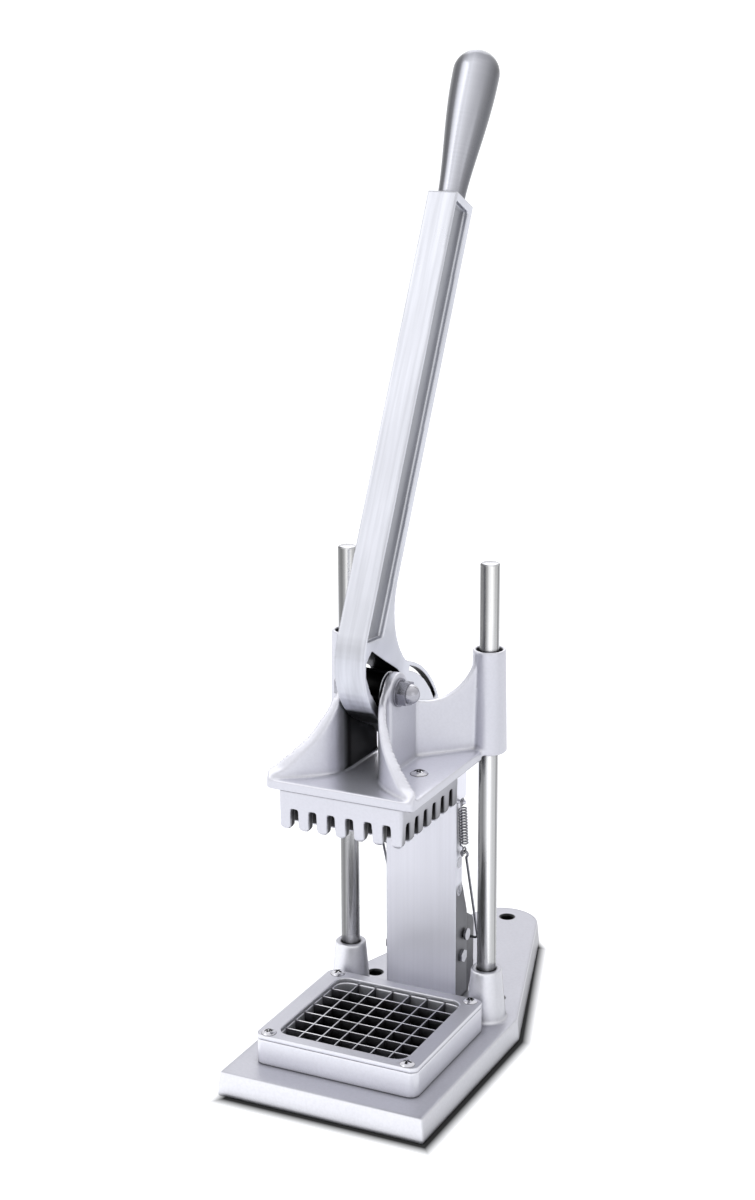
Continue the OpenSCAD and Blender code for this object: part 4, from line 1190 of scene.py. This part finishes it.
@dataclass
class Studio:
    """Camera, floor, background and lamps."""

    eye: Vector = Vector((0.59287, -1.27453, 0.69998))
    azimuth: float = math.radians(26.24)
    elevation: float = math.radians(16.06)
    roll: float = math.radians(-0.27)
    lens: float = 67.81

    FLOOR_SIZE = 60.0
    PAPER = 0.8
    # The paper's colour where the painted shadow is darkest.
    PAPER_SHADOW = 0.02
    PAPER_LIFT = 0.6
    LAMPS = (
        ("key", (-1.4, -1.1, 1.8), (0.0, 0.0, 0.25), 1.4, 5.5),
        ("fill", (1.6, -0.9, 0.7), (0.0, 0.0, 0.2), 1.2, 2.0),
        ("rim", (-0.6, 1.6, 1.6), (0.0, 0.0, 0.3), 1.4, 4.5),
    )

    def build(self) -> None:
        """Sets up the whole studio."""
        bpy.context.scene.view_settings.view_transform = "Standard"
        self._camera()
        self._floor()
        self._world()
        for name, place, aim, size, power in self.LAMPS:
            self._lamp(name, Vector(place), Vector(aim), size, power)

    def _camera(self) -> None:
        """Places the camera where the photograph was taken from."""
        data = bpy.data.cameras.new("camera")
        data.lens = self.lens
        data.sensor_width = 36.0
        data.sensor_fit = "AUTO"
        camera = bpy.data.objects.new("camera", data)
        back = Vector((math.sin(self.azimuth) * math.cos(self.elevation),
                       -math.cos(self.azimuth) * math.cos(self.elevation),
                       math.sin(self.elevation)))
        right = Vector((math.cos(self.azimuth), math.sin(self.azimuth), 0.0))
        up = back.cross(right)
        turned_right = math.cos(self.roll) * right + math.sin(self.roll) * up
        turned_up = -math.sin(self.roll) * right + math.cos(self.roll) * up
        axes = Matrix((turned_right, turned_up, back)).transposed().to_4x4()
        camera.matrix_world = Matrix.Translation(self.eye) @ axes
        bpy.context.collection.objects.link(camera)
        bpy.context.scene.camera = camera

    @staticmethod
    def _floor() -> None:
        """Lays the pale floor, which shows white where no shadow falls, with a painted shadow
        beside and under the base.
        """
        bm = bmesh.new()
        bmesh.ops.create_grid(bm, x_segments=1, y_segments=1, size=Studio.FLOOR_SIZE)
        floor = Shop.from_bmesh("floor", bm)
        material = bpy.data.materials.new("floor_paper")
        material.use_nodes = True
        tree = material.node_tree
        shader = tree.nodes["Principled BSDF"]
        shader.inputs["Roughness"].default_value = 0.9
        lift = NodeTools.add(tree, "ShaderNodeEmission")
        # Painted shadow: the glow and the paper's colour both fall off beside and under the base.
        free = Studio._free(tree, ContactShadow())
        lit = NodeTools.spread(tree, free, (0.0, 0.0), (1.0, Studio.PAPER_LIFT))
        tree.links.new(NodeTools.product(tree, Studio._seen(tree), lit),
                       lift.inputs["Strength"])
        paper = NodeTools.spread(tree, free, (0.0, Studio.PAPER_SHADOW), (1.0, Studio.PAPER))
        tree.links.new(paper, shader.inputs["Base Color"])
        both = NodeTools.add(tree, "ShaderNodeAddShader")
        tree.links.new(shader.outputs[0], both.inputs[0])
        tree.links.new(lift.outputs[0], both.inputs[1])
        tree.links.new(both.outputs[0], tree.nodes["Material Output"].inputs["Surface"])
        floor.data.materials.append(material)

    @staticmethod
    def _free(tree: bpy.types.NodeTree, shadow: ContactShadow) -> bpy.types.NodeSocket:
        """Marks the paper that lies clear of the base and of the painted shadow beside it.

        Args:
            tree: The floor material's tree.
            shadow: Where the paper turns dark.

        Returns:
            The socket with the mask, nought under the base.
        """
        where = NodeTools.add(tree, "ShaderNodeTexCoord").outputs["Object"]
        along = NodeTools.axis(tree, where, "Y")
        out = NodeTools.math(tree, "ABSOLUTE", NodeTools.math(
            tree, "SUBTRACT", NodeTools.axis(tree, where, "X"), shadow.shift))
        for low, high in (shadow.taper, shadow.nose):
            out = NodeTools.math(tree, "ADD", out, NodeTools.spread(tree, along, low, high))
        free = NodeTools.spread(tree, out, (shadow.beside[0], 0.0), (shadow.beside[1], 1.0))
        for dark, clear in (shadow.before, shadow.behind):
            free = NodeTools.math(tree, "MAXIMUM", free, NodeTools.spread(
                tree, along, (dark, 0.0), (clear, 1.0)))
        return free

    @staticmethod
    def _seen(tree: bpy.types.NodeTree) -> bpy.types.NodeSocket:
        """Marks camera, glossy and transmission rays.

        Args:
            tree: The node tree to add to.

        Returns:
            The socket with the mask.
        """
        path = NodeTools.add(tree, "ShaderNodeLightPath")
        direct = NodeTools.math(tree, "MAXIMUM", path.outputs["Is Camera Ray"],
                                path.outputs["Is Glossy Ray"])
        return NodeTools.math(tree, "MAXIMUM", direct, path.outputs["Is Transmission Ray"])

    @staticmethod
    def _world() -> None:
        """Sets a white background, with a softer grey to light the object."""
        world = bpy.data.worlds.new("studio")
        bpy.context.scene.world = world
        world.use_nodes = True
        tree = world.node_tree
        light = tree.nodes["Background"]
        light.inputs["Color"].default_value = (0.85, 0.87, 0.92, 1.0)
        light.inputs["Strength"].default_value = 0.8
        white = NodeTools.add(tree, "ShaderNodeBackground")
        white.inputs["Color"].default_value = (1.0, 1.0, 1.0, 1.0)
        mixed = NodeTools.add(tree, "ShaderNodeMixShader")
        tree.links.new(Studio._seen(tree), mixed.inputs[0])
        tree.links.new(light.outputs[0], mixed.inputs[1])
        tree.links.new(white.outputs[0], mixed.inputs[2])
        tree.links.new(mixed.outputs[0], tree.nodes["World Output"].inputs["Surface"])

    @staticmethod
    def _lamp(name: str, place: Vector, aim: Vector, size: float, power: float) -> None:
        """Hangs one soft lamp.

        Args:
            name: The lamp's name.
            place: Where it hangs.
            aim: What it points at.
            size: Its width and height.
            power: Its power in watts.
        """
        data = bpy.data.lights.new(name, "AREA")
        data.size = size
        data.energy = power
        lamp = bpy.data.objects.new(name, data)
        lamp.location = place
        lamp.rotation_euler = (aim - place).to_track_quat("-Z", "Y").to_euler()
        bpy.context.collection.objects.link(lamp)


def main() -> None:
    """Builds the dressed cutter, piece by piece."""
    logging.basicConfig(level=logging.INFO, format="%(name)s %(message)s")
    Studio().build()
    shop = Shop(Finishes())
    for group in (Castings(shop), Rods(shop), Grip(shop), Springs(shop), Fittings(shop)):
        group.build()
        LOG.info("%s done", type(group).__name__)


if __name__ == "__main__":
    main()
